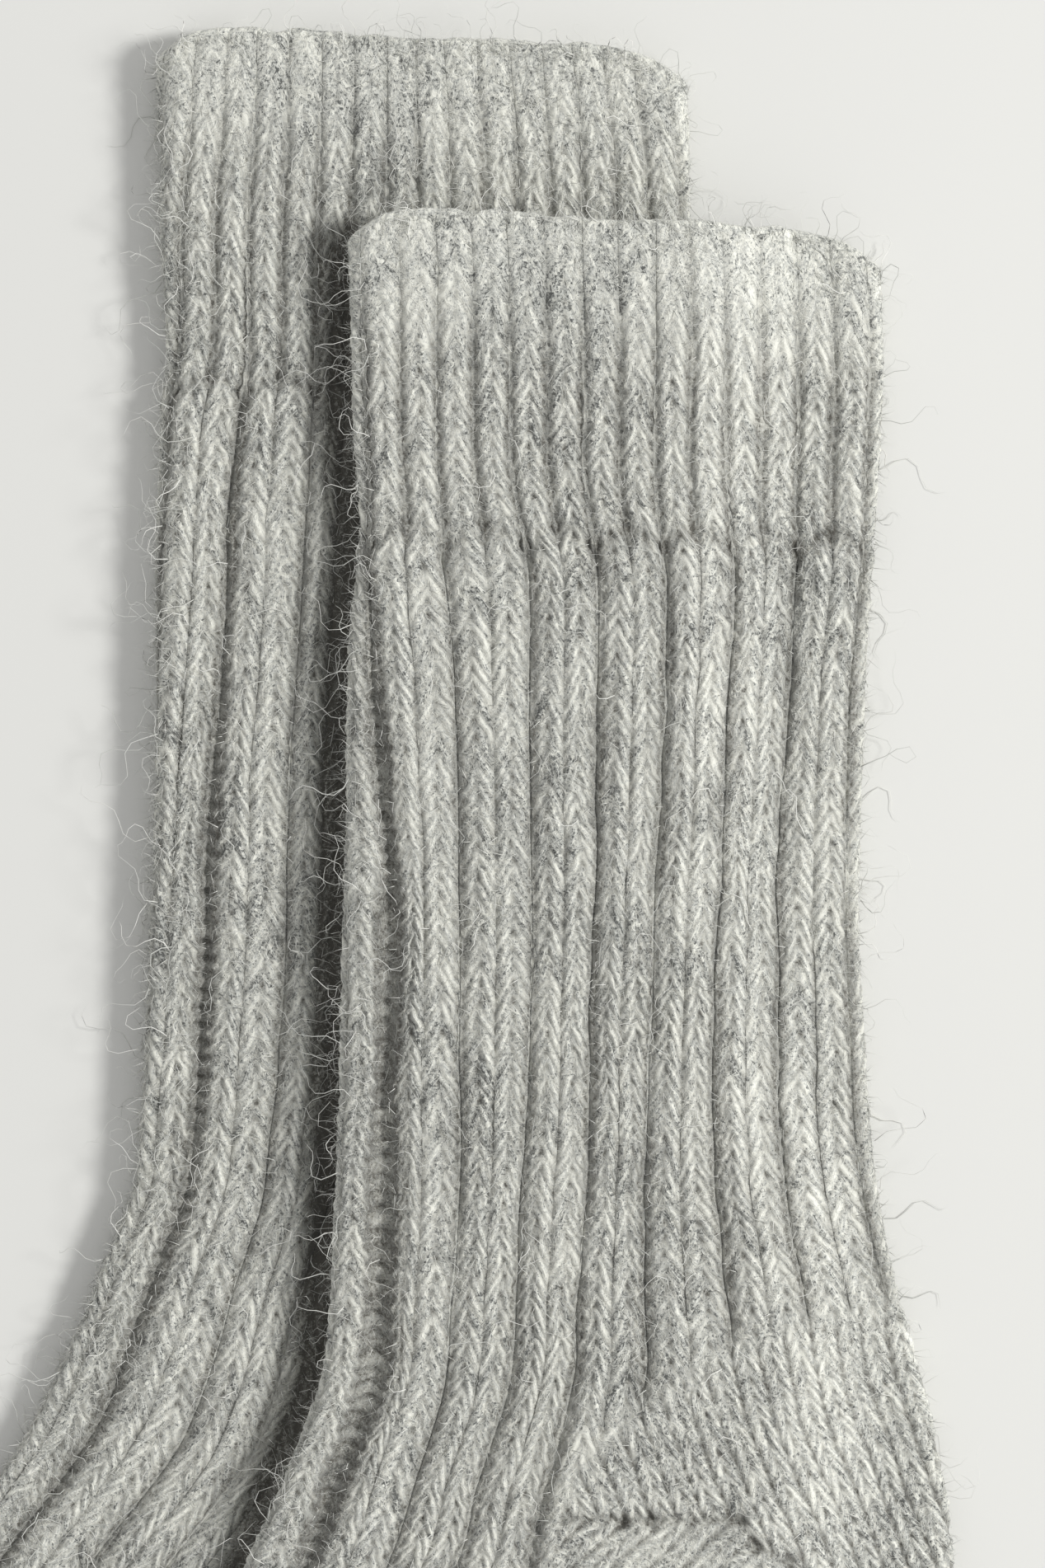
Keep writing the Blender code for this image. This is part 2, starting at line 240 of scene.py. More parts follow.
# Where they stand, in stitches round the sock. Each fibre draws a number from 0 to 1, which picks its zone.
FRONT_FACE, REAR_FACE = (-1.5, 35.5), (-1.5, 13.5)
FRONT_CREASE, FRONT_CREASE_BELOW = (-1.6, 2.4), 0.22
BACK_CREASE, BACK_CREASE_BELOW = (33.0, 35.5), 0.29
REAR_CREASE, REAR_CREASE_BELOW = (-1.6, 2.6), 0.3
REAR_TOP, REAR_TOP_ABOVE, REAR_TOP_COURSES = (13, 35), 0.72, 11
RIM, RIM_ABOVE, RIM_COURSES = (-1, 35), 0.86, 3
RIM_LEAN = (0.3, 1.4)

# The wool's material.
SHADOW_COLOUR = (0.12, 0.115, 0.10)
PALEST_FIBRE = (0.95, 0.945, 0.90)
BUMP_DEPTH = 0.18 * MM

# The stage.
TABLE_HALF = 2.0
SENSOR_WIDTH_MM = 36.0
LIGHT_REACH = 1.8
LIGHT_WIDTH = 0.42
LIGHT_WATTS = 24.0
LIGHT_COLOUR = (1.0, 0.995, 0.98)
ROOM_LIGHT = 0.52

PHOTO_SIZE = (1268, 1902)
PHOTO_SCALE = 8.0  # pixels a millimetre
PHOTO_ORIGIN = (428, 280)  # the pixel where the front sock's front crease starts


# ---------------------------------------------------------------- settings


class KnitSettings(bpy.types.PropertyGroup):
    """How deep and how slanted the stitches are."""

    stitch_depth: FloatProperty(
        name="Stitch depth", description="How far a stitch stands out",
        default=0.44 * MM, unit="LENGTH", precision=5,
    )
    gutter_depth: FloatProperty(
        name="Gutter depth", description="Floor of a gutter under the ribs",
        default=2.1 * MM, unit="LENGTH", precision=5,
    )
    leg_slope: FloatProperty(name="Slope", description="Courses that half a stitch runs down", default=1.75)
    unevenness: FloatProperty(name="Unevenness", description="How uneven the knitting is", default=1.0, min=0)


class WoolSettings(bpy.types.PropertyGroup):
    """The colours of the mixed wool."""

    light: FloatVectorProperty(
        name="Light fibres", description="Palest fibres", subtype="COLOR",
        default=(0.90, 0.90, 0.82), min=0, max=1,
    )
    middle: FloatVectorProperty(
        name="Middle fibres", description="Most of the wool", subtype="COLOR",
        default=(0.60, 0.61, 0.575), min=0, max=1,
    )
    dark: FloatVectorProperty(
        name="Dark fibres", description="Darkest fibres", subtype="COLOR",
        default=(0.12, 0.125, 0.12), min=0, max=1,
    )


class FuzzSettings(bpy.types.PropertyGroup):
    """The loose fibres."""

    short_count: IntProperty(name="Short fibres", description="On each sock", default=9000, min=10)
    long_count: IntProperty(name="Long fibres", description="On each sock", default=640, min=10)
    fibre_width: FloatProperty(
        name="Fibre width", description="Of a short fibre", default=0.13 * MM, unit="LENGTH", precision=5
    )


class StageSettings(bpy.types.PropertyGroup):
    """The table, the light and the camera."""

    table_colour: FloatVectorProperty(
        name="Table", description="Colour of the table", subtype="COLOR",
        default=(0.80, 0.80, 0.775), min=0, max=1,
    )
    lens: FloatProperty(name="Lens", description="Focal length in millimetres", default=180.0)
    light_elevation: FloatProperty(
        name="Light's height", description="Above the table", subtype="ANGLE", default=math.radians(40)
    )
    light_azimuth: FloatProperty(
        name="Light's turn", description="From the right towards the cuff", subtype="ANGLE",
        default=math.radians(8),
    )


class SockSettings(bpy.types.PropertyGroup):
    """Everything that a user would change."""

    knit: PointerProperty(type=KnitSettings)
    wool: PointerProperty(type=WoolSettings)
    fuzz: PointerProperty(type=FuzzSettings)
    stage: PointerProperty(type=StageSettings)


# ---------------------------------------------------------------- the folded tube


def smoothstep(value, low, high):
    """0 below low, 1 above high and a smooth S between them."""
    part = np.clip((value - low) / (high - low), 0.0, 1.0)
    return part * part * (3.0 - 2.0 * part)


def through_rows(rows, number):
    """A Catmull-Rom spline through the rows of a table, at any row numbers."""
    ends = np.vstack([2 * rows[0] - rows[1], rows, 2 * rows[-1] - rows[-2]])
    start = np.clip(number.astype(int), 0, len(rows) - 2)
    part = (number - start)[..., None]
    before, first, second, after = (ends[start + k] for k in range(4))
    bend = 2 * before - 5 * first + 4 * second - after
    twist = 3 * first - before - 3 * second + after
    return first + 0.5 * part * (second - before + part * (bend + part * twist))


def section_at(number):
    """(front, back, thick, hollow) at section numbers: the table's spline, a straight foot, an oval toe."""
    rows = np.array(SECTIONS_MM) * MM
    rows_there = through_rows(rows, np.clip(number, 0, LAST_ROW))
    last = rows[-1]
    along = np.array([-math.cos(FOOT_ANGLE), -math.sin(FOOT_ANGLE)])
    width = np.linalg.norm(last[2:4] - last[:2])
    across = (last[2:4] - last[:2]) / width
    beyond = np.maximum(number - LAST_ROW, 0)
    tip_reach = (1 - TOE_TIP_WIDTH**TOE_ROUNDNESS) ** (1 / TOE_ROUNDNESS)
    toe = np.sin(np.clip((beyond - FOOT_STEPS) / TOE_STEPS, 0, 1) * math.asin(tip_reach))
    distance = np.clip(beyond / FOOT_STEPS, 0, 1) * FOOT_STRAIGHT + toe * TOE_LENGTH
    narrow = (1 - toe**TOE_ROUNDNESS) ** (1 / TOE_ROUNDNESS)
    half = (width - FOOT_SLIMMING * np.minimum(distance / FOOT_STRAIGHT, 1)) / 2 * narrow
    middle = last[:2] + across * width / 2 + along * distance[..., None]
    reach = across * half[..., None]
    in_foot = (number > LAST_ROW)[..., None]
    front = np.where(in_foot, middle - reach, rows_there[..., :2])
    back = np.where(in_foot, middle + reach, rows_there[..., 2:4])
    foot_thick = TOE_THICK + (last[4] - TOE_THICK) * np.sqrt(narrow)
    thick = np.where(in_foot[..., 0], foot_thick, rows_there[..., 4])
    return front, back, thick, rows_there[..., 5]


def place_on_side(stitch, number):
    """Where a stitch lies round the flat sock: 0 on the front crease, 1 on the back crease, 2 back again."""
    half = STITCHES_ROUND / 2
    stitch = np.mod(stitch, STITCHES_ROUND)
    folded = np.where(stitch > half, STITCHES_ROUND - stitch, stitch)
    on_leg = folded / half
    on_instep = folded / INSTEP_STITCHES * FOOT_INSTEP_SHARE
    sole = (folded - INSTEP_STITCHES) / (half - INSTEP_STITCHES)
    on_sole = FOOT_INSTEP_SHARE + (1 - FOOT_INSTEP_SHARE) * sole
    on_foot = np.where(folded < INSTEP_STITCHES, on_instep, on_sole)
    place = on_leg + (on_foot - on_leg) * smoothstep(number, ANKLE_START, ANKLE_END)
    return np.where(stitch > half, 2 - place, place)


def solid_relief(stitch, number):
    """The ribs of the solid: one stitch wide in the cuff, two in the leg, none on the heel and sole."""
    stitch = np.mod(stitch, STITCHES_ROUND)
    in_cuff = np.sin(np.pi * stitch / CUFF_RIB_STITCHES) ** 2
    phase = np.mod(stitch, LEG_RIB_STITCHES)
    crest = np.abs(np.sin(np.pi * phase / LEG_RIB_STITCHES)) ** 0.35
    dip = 0.12 * np.exp(-(((phase - LEG_RIB_STITCHES / 2) / 0.5) ** 2))
    in_leg = crest * (1 - dip)
    below_cuff = smoothstep(number, CUFF_END - 0.25, CUFF_END + 0.25)
    plain = np.maximum(plain_share(stitch, number), smoothstep(number, TOE_START - 0.5, TOE_START + 1))
    height = in_cuff * CUFF_RELIEF * (1 - below_cuff) + in_leg * LEG_RELIEF * below_cuff
    return height + (LEG_RELIEF * 0.55 - height) * plain


def plain_share(stitch, number):
    """1 on the heel and the sole, which have no ribs."""
    stitch = np.mod(stitch, STITCHES_ROUND)
    from_crease = np.minimum(stitch, STITCHES_ROUND - stitch)
    plain = smoothstep(from_crease, INSTEP_STITCHES, INSTEP_STITCHES + 1)
    return plain * smoothstep(number, HEEL_START, HEEL_FULL)


def flat_ring(place, width, thick):
    """Points round a flattened tube with half-round creases: (across, up, outward across, outward up)."""
    radius = thick / 2
    quarter = math.pi * radius / 2
    side = np.where(place > 1, 2 - place, place)
    length = 2 * quarter + width - thick
    run = side * length
    turn = np.minimum(run, quarter) / radius - np.maximum(run - (length - quarter), 0) / radius
    across = radius * (1 - np.cos(np.minimum(run, quarter) / radius))
    across = across + np.clip(run - quarter, 0, width - thick)
    across = across + radius * np.sin(np.maximum(run - (length - quarter), 0) / radius)
    rise = np.sin(np.clip(turn, 0, math.pi / 2))
    lean = np.cos(np.clip(turn, 0, math.pi / 2))
    outward = np.where(run < length / 2, -lean, lean)
    upper = np.where(place > 1, -1.0, 1.0)
    return across, radius + upper * radius * rise, outward, upper * rise


def outline_of(number):
    """The closed outline of a sock from above, down the front crease and back up the other."""
    front, back, _, _ = section_at(number)
    return np.vstack([front, back[::-1]])


def outside_distance(points, outline):
    """How far each point lies outside a closed outline, 0 inside it."""
    ahead = np.roll(outline, -1, axis=0)
    best = np.full(len(points), np.inf)
    inside = np.zeros(len(points), bool)
    for start, end in zip(outline, ahead):
        run = end - start
        offset = points - start
        share = np.clip(offset @ run / (run @ run), 0, 1)
        best = np.minimum(best, ((offset - share[:, None] * run) ** 2).sum(axis=1))
        straddles = (start[1] > points[:, 1]) != (end[1] > points[:, 1])
        if abs(run[1]) > 0:
            crossing = start[0] + (points[:, 1] - start[1]) / run[1] * run[0]
            inside ^= straddles & (points[:, 0] < crossing)
    return np.where(inside, 0.0, np.sqrt(best))


def mouth_rise(across_share, number):
    """The cuff's edge bows up and rounds down at its corners, and the sections below it less and less."""
    from_middle = np.abs(2 * across_share - 1)
    rise = MOUTH_BOW * (1 - from_middle**4) - MOUTH_CORNER * from_middle**14
    return rise * (1 - smoothstep(number, 0, 2))


def tube_points(number, stitch, relief, inner=False):
    """(points, outward) of the folded tube in the sock's own frame, with the outer skin raised by relief."""
    number, stitch = np.broadcast_arrays(number, stitch)
    front, back, thick, hollow = section_at(number)
    span = back - front
    width = np.linalg.norm(span, axis=-1)
    place = place_on_side(stitch, number)
    wall = (thick - hollow) / 2
    if inner:
        across, up, out_across, out_up = flat_ring(place, width - 2 * wall, hollow)
        across, up = across + wall, up + wall
    else:
        across, up, out_across, out_up = flat_ring(place, width, thick)
    above = smoothstep(up / thick, 0.3, 0.6)
    share = np.clip(across / width, 0, 1)
    up_flat = up
    height = relief * above + np.minimum(relief - LEG_RELIEF, 0) * (1 - above) * 0.4
    across, up = across + out_across * height, up + out_up * height
    up = up + SWELL * np.sin(np.pi * share) * smoothstep(up_flat / thick, 0.42, 0.58)
    plan = front + span * (across / width)[..., None]
    plan[..., 1] += mouth_rise(np.clip(across / width, 0, 1), number)
    direction = span / width[..., None]
    outward = np.concatenate([direction * out_across[..., None], out_up[..., None]], axis=-1)
    return np.concatenate([plan, up[..., None]], axis=-1), outward


class Sock:
    """One sock's place in the frame: its shift, and how high it lies over what is under it."""

    def __init__(self, node, slot, on_top):
        self.node = node
        self.slot = slot
        self.on_top = on_top
        self.gutters = np.array(FRONT_GUTTERS if on_top else REAR_GUTTERS)
        self.cuff_columns = np.array(FRONT_CUFF if on_top else REAR_CUFF)
        self.cuff_end = CUFF_END if on_top else REAR_CUFF_END
        number = np.concatenate([
            np.arange(LAST_ROW * SOLID_STEPS_A_ROW + 1) / SOLID_STEPS_A_ROW,
            LAST_ROW + 1.0 + np.arange(FOOT_STEPS + TOE_STEPS),
        ])
        relief = solid_relief(SOLID_STITCHES[None, :], number[:, None])
        points, _ = tube_points(number[:, None], SOLID_STITCHES[None, :], relief)
        self.shift = np.array(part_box(node)[1])[:2] - points.reshape(-1, 3).max(axis=0)[:2]
        self.rest_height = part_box("sock_rear")[1].z + GAP if on_top else 0.0
        self.rear_outline = outline_of(number) + np.array(REAR_SHIFT)
        self.front_crease = section_at(np.linspace(0, TOE_START, 200))[0]

    def lift(self, plan):
        """How high the sock lies at each place of its plan: over the rear sock, down to the table."""
        if not self.on_top:
            return np.zeros(plan.shape[:-1])
        flat = plan.reshape(-1, 2)
        near = outside_distance(flat, self.rear_outline)
        high = self.rest_height * (1 - smoothstep(near, DRAPE_MARGIN, DRAPE_MARGIN + DRAPE_LENGTH))
        return high.reshape(plan.shape[:-1])

    def pressed(self, plan):
        """How deep the front sock's edge presses into the rear one: a soft trough along that edge."""
        if self.on_top:
            return np.zeros(plan.shape[:-1])
        over = plan + np.array(REAR_SHIFT)
        beside = over[..., 0] - np.interp(-over[..., 1], -self.front_crease[:, 1], self.front_crease[:, 0])
        trough = 1 - smoothstep(np.abs(beside - PRESS_MIDDLE), PRESS_FLAT, PRESS_REACH)
        return PRESS_DEPTH * trough * smoothstep(-over[..., 1], -4 * MM, 5 * MM)

    def placed(self, points):
        """Points of the sock's own frame, lifted over what it lies on and moved to its place."""
        high = self.lift(points[..., :2])
        placed = points.copy()
        placed[..., 2] += high
        placed[..., :2] += self.shift
        return placed


# ---------------------------------------------------------------- the knitting


def scatter(*keys):
    """A repeatable number from 0 to 1 for each combination of whole numbers."""
    total = sum(np.asarray(key, float) * factor for key, factor in zip(keys, SCATTER_FACTORS))
    return np.mod(np.abs(np.sin(total) * SCATTER_SCALE), 1.0)


def drift(u, v, seed):
    """Smooth noise from -1 to 1 over two coordinates: lattice values joined by smooth steps."""
    column, row = np.floor(u), np.floor(v)
    along = smoothstep(u - column, 0, 1)
    down = smoothstep(v - row, 0, 1)
    corner = [scatter(column + i, row + j, seed) for i, j in ((0, 0), (1, 0), (0, 1), (1, 1))]
    upper = corner[0] + (corner[1] - corner[0]) * along
    lower = corner[2] + (corner[3] - corner[2]) * along
    return 2 * (upper + (lower - upper) * down) - 1


def course_table():
    """(section number, course number) pairs down the sock, measured along one line of its face."""
    number = np.linspace(0, TOE_END, 3101)
    front, back, _, _ = section_at(number)
    line = front + (back - front) * COURSE_PLACE
    length = np.concatenate([[0], np.cumsum(np.linalg.norm(np.diff(line, axis=0), axis=1))])
    return number, length / COURSE


def knit_stitch(x, phase, column, slope, seed):
    """(height, along, across, key, row) of plain knitting: a stitch is two ovals leaning on each other.

    x runs from -1 to 1 across a column and phase counts the courses down it. Each half stitch is an oval
    that runs down from the middle of the column to its edge: a course's lines of equal phase sink by the
    slope from the middle to the edge. The height is round across the oval and falls off at its two ends.
    Under the peak where the two halves meet, a small pit opens between them.
    """
    swing = x + 0.16 * drift(column * 2.1, phase * 0.8, seed + 15)
    side = np.clip(np.abs(swing), 0, 1)
    hand = np.where(swing < 0, 0.0, 1.0)
    sunk = phase - slope * side + 0.22 * drift(column * 3.7 + hand * 9.1, phase * 0.9, seed)
    row = np.floor(sunk)
    across = sunk - row - 0.5
    plump = 0.68 + 0.5 * scatter(column, row, hand, seed)
    along = side - 0.5 + 0.22 * (scatter(row, column, hand, seed + 3) - 0.5)
    round_part = (0.5 + 0.5 * np.cos(2 * np.pi * across)) ** 0.7
    end_part = 0.2 + 0.8 * (0.5 + 0.5 * np.cos(2 * np.pi * np.clip(along, -0.5, 0.5))) ** 0.6
    nearest = np.round(phase)
    hole = np.exp(-((side / PIT_WIDTH) ** 2) - ((phase - nearest) / PIT_LENGTH) ** 2)
    hole = hole * (0.05 + 0.45 * scatter(column, nearest, seed + 2))
    return round_part * end_part * plump - hole, side, across, column * 2 + hand + row * 0.37, row


def hollow(height):
    """How deep a place lies between stitches, as a weight of painted shade: 0 where the height is 1 or more,
    1 where it is 0.
    """
    return np.maximum(1 - height, 0) ** 2.2


def knit_purl(part, index, phase, seed):
    """(height, along, across, key, row) of the purl side in a gutter: a short bar a course, ends down."""
    sunk = phase + 0.5 - 0.42 * part**2 + 0.3 * drift(part * 1.3 + index, phase * 0.8, seed)
    row = np.floor(sunk)
    across = sunk - row - 0.5
    plump = 0.55 + 0.55 * scatter(index, row, seed)
    height = np.sqrt(np.clip(1 - (np.abs(across) / 0.5) ** 2, 0, 1)) * (1 - 0.45 * np.abs(part) ** 2.5)
    return height * plump, part * 2.6, across, index * 5 + row * 0.71, row


def heel_knit(plan, settings):
    """(height, along, across, key, row, gore) of the plain heel, from the place on the sock in its own frame.

    Above the gore the columns start straight down and come to lean by the heel's slant, so a column is
    numbered by the place from which it started. Below the gore they run along the foot. The gore itself is
    a shallow furrow with a pit at each turned row.
    """
    x, y = plan[..., 0] / MM, plan[..., 1] / MM
    depth = np.maximum(-y - HEEL_SLANT_FROM_MM, 0)
    slide = depth - HEEL_SLANT_RAMP_MM * (1 - np.exp(-depth / HEEL_SLANT_RAMP_MM))
    sway = 0.35 * drift(x / 14, y / 14, 41) + 0.25 * drift(x / 6, y / 6, 43)
    upper_column = (x - math.tan(HEEL_SLANT) * slide) / (HEEL_COLUMN_MM / math.cos(HEEL_SLANT)) + 0.3 * sway
    lean = smoothstep(depth, 0, 3 * HEEL_SLANT_RAMP_MM)
    upper_course = (-y + (x - 60) * 0.2 * lean) / HEEL_COURSE_MM + sway
    lower_column = (x * math.sin(SOLE_SLANT) - y * math.cos(SOLE_SLANT)) / HEEL_COLUMN_MM + 0.3 * sway
    lower_course = (-x * math.cos(SOLE_SLANT) - y * math.sin(SOLE_SLANT)) / HEEL_COURSE_MM + sway
    gore = np.array(GORE_MM)
    below = np.interp(x, gore[:, 0], gore[:, 1]) - y
    parts = []
    for number, phase, seed in ((upper_column, upper_course, 51), (lower_column, lower_course, 57)):
        column = np.floor(number)
        place = 2 * (number - column) - 1
        height, *rest = knit_stitch(place, phase, column, settings.leg_slope * 0.9, seed)
        parts.append((height - HEEL_FURROW * smoothstep(np.abs(place), 0.62, 1.0), *rest))
    under = below > 0
    mixed = [np.where(under, low, high) for high, low in zip(*parts)]
    furrow = np.exp(-((below / 0.9) ** 2)) * 0.55
    for pit_x, pit_y in GORE_PITS_MM:
        furrow = np.maximum(furrow, 1.5 * np.exp(-(((x - pit_x) ** 2 + (y - pit_y) ** 2) / 1.3)))
    return (*mixed, furrow)


class Ring:
    """The points round one ring of the knitting: which column or gutter each belongs to, and where in it."""

    def __init__(self, first_column, last_column, column_points, fine):
        kind, index, part = [], [], []
        for column in range(first_column, last_column + 1):
            in_gutter = (0.0,)
            if fine and column % 2 == 0:
                in_gutter = OPEN_GUTTER_POINTS if column == OPEN_GUTTER else GUTTER_POINTS
            kind += [IN_GUTTER] * len(in_gutter) + [IN_COLUMN] * column_points
            index += [column] * (len(in_gutter) + column_points)
            part += list(in_gutter) + list(np.linspace(-1, 1, column_points))
        spare = max(UNDERSIDE_POINTS, round((STITCHES_ROUND - 2.2 * (last_column - first_column + 1)) * 0.8))
        self.first_column, self.last_column = first_column, last_column
        self.kind = np.array(kind + [UNDERNEATH] * spare)
        self.index = np.array(index + [0] * spare)
        self.part = np.array(part + list(np.linspace(0, 1, spare, endpoint=False)))


def boundary(sock, index, number):
    """The stitch where a column starts.

    In the cuff the columns are evenly wide. In the leg the even ones start at the gutters of the table, and
    the odd ones half way between two of them.
    """
    start, width = (np.interp(number, sock.cuff_columns[:, 0], sock.cuff_columns[:, k]) for k in (1, 2))
    in_cuff = start + width * (index - OPEN_GUTTER)
    row = np.interp(number[:, 0], sock.gutters[:, 0], np.arange(len(sock.gutters)))
    gutters = through_rows(sock.gutters[:, 1:], row)
    before = np.clip(np.floor(index / 2).astype(int), 0, gutters.shape[1] - 2)
    left = np.take_along_axis(gutters, before, axis=1)
    right = np.take_along_axis(gutters, before + 1, axis=1)
    in_leg = left + (right - left) * (index / 2 - before)
    return in_cuff + (in_leg - in_cuff) * smoothstep(number, sock.cuff_end - 0.7, sock.cuff_end + 0.7)


def course_sway(stitch, course, settings, seed):
    """How far the courses stray up and down, in courses: three smooth noises, each finer than the last."""
    wide = 0.30 * drift(stitch / 9, course / 13, seed + 1) + 0.18 * drift(stitch / 2.3, course / 5, seed + 2)
    return settings.unevenness * (wide + 0.12 * drift(stitch / 1.1, course / 1.3, seed + 3))


def gutter_weight(index, course, seed):
    """How strong a gutter is: 1 for the open one, and the others are weaker and close up in places."""
    own = np.interp(index, *np.transpose(GUTTER_WEIGHTS))
    closed = smoothstep(drift(index * 7.7, course / 4.5, seed + 17), 0.1, 0.8)
    return np.where(index == OPEN_GUTTER, 1.0, own * (1 - 0.45 * closed))


def half_gap(sock, index, number, course, edge_phase, seed):
    """Half the width, in stitches, of the gap at a boundary: next to none between the two columns of a rib.

    A gutter is widest between two stitches and narrow beside the thickest part of one, and it strays.
    """
    low = smoothstep(number, sock.cuff_end - 0.15, sock.cuff_end + 0.35)
    ribs = np.mod(index, 2) == 0
    weight = gutter_weight(index, course, seed)
    uneven = weight + 0.6 * drift(index * 5.3, course / 6, seed + 5)
    uneven = uneven + 0.5 * drift(index * 3.1, course / 1.7, seed + 6)
    scallop = SCALLOP * (0.5 + 0.5 * np.cos(2 * np.pi * edge_phase))
    opened = np.interp(number, *np.transpose(OPEN_HALF_WIDTHS))
    opened = opened * (0.95 + 0.3 * drift(index, course / 5, seed))
    opened = opened * (1.0 if sock.on_top else REAR_OPEN_SHARE)
    in_leg = np.where(ribs, GUTTER_HALF_WIDTH * np.clip(uneven, 0.3, 2.2) + scallop * weight, COLUMN_HALF_GAP)
    in_leg = np.where(index == OPEN_GUTTER, opened + scallop, in_leg)
    in_cuff = (CUFF_HALF_GAP * np.clip(uneven, 0.3, 1.8) + 0.6 * scallop) * felting(course)
    return in_cuff + (in_leg - in_cuff) * low


def felting(course):
    """How much of the knitting's relief is left near the cuff's felted edge."""
    return 0.3 + 0.7 * smoothstep(course, 0.5, FELTED_COURSES)


def creases(plan):
    """How deep the soft creases are at places of the sock's own frame: long smooth troughs and ridges."""
    depth = np.zeros(plan.shape[:-1])
    for x, y, turn, half_length, half_width, deep in CREASES_MM:
        ahead = np.array([math.cos(math.radians(turn)), math.sin(math.radians(turn))])
        offset = plan / MM - (x, y)
        along = offset @ ahead
        beside = offset[..., 1] * ahead[0] - offset[..., 0] * ahead[1] - 0.01 * along**2
        ends = 1 - smoothstep(np.abs(along), 0.4 * half_length, half_length)
        depth += deep * MM * ends * np.exp(-((beside / half_width) ** 2))
    return depth


def ring_stitches(sock, ring, number, course, settings, seed):
    """(stitch, start, stop, left_gap): where each point lies round the sock, and the edges of its column.

    A column's points run evenly from its left gap to its right one, and a gutter's lie in the gap. All of
    them wander a little, less towards the creases. The underside's are spread over what is left.
    """
    shape = (len(number), len(ring.index))
    index, part, kind = (np.broadcast_to(a, shape) for a in (ring.index, ring.part, ring.kind))
    column = kind == IN_COLUMN
    left, right = boundary(sock, index, number), boundary(sock, index + 1, number)
    gaps = []
    for edge, which in ((left, index), (right, index + 1)):
        edge_phase = course + course_sway(edge, course, settings, seed) - settings.leg_slope
        gaps.append(half_gap(sock, which, number, course, edge_phase, seed))
    left_gap, right_gap = gaps
    start, stop = left + left_gap, right - right_gap
    stitch = np.where(column, start + (part + 1) / 2 * (stop - start), left + part * left_gap)
    order = np.where(column, index + (part + 1) / 2, index)
    wander = settings.unevenness * 0.2 * drift(order / 2.0, course / 9, seed)
    wander = wander + settings.unevenness * 0.1 * drift(order / 1.1, course / 2.5, seed + 8)
    stitch = stitch + wander * (1 - smoothstep(np.abs(stitch - STITCHES_ROUND / 4), 14, 17.5))
    first = STITCHES_ROUND + boundary(sock, np.full(shape, ring.first_column), number)
    last = boundary(sock, np.full(shape, ring.last_column + 1), number)
    stitch = np.where(kind == UNDERNEATH, last + part * (first - last), stitch)
    return evened(stitch, ring, number), start, stop, left_gap


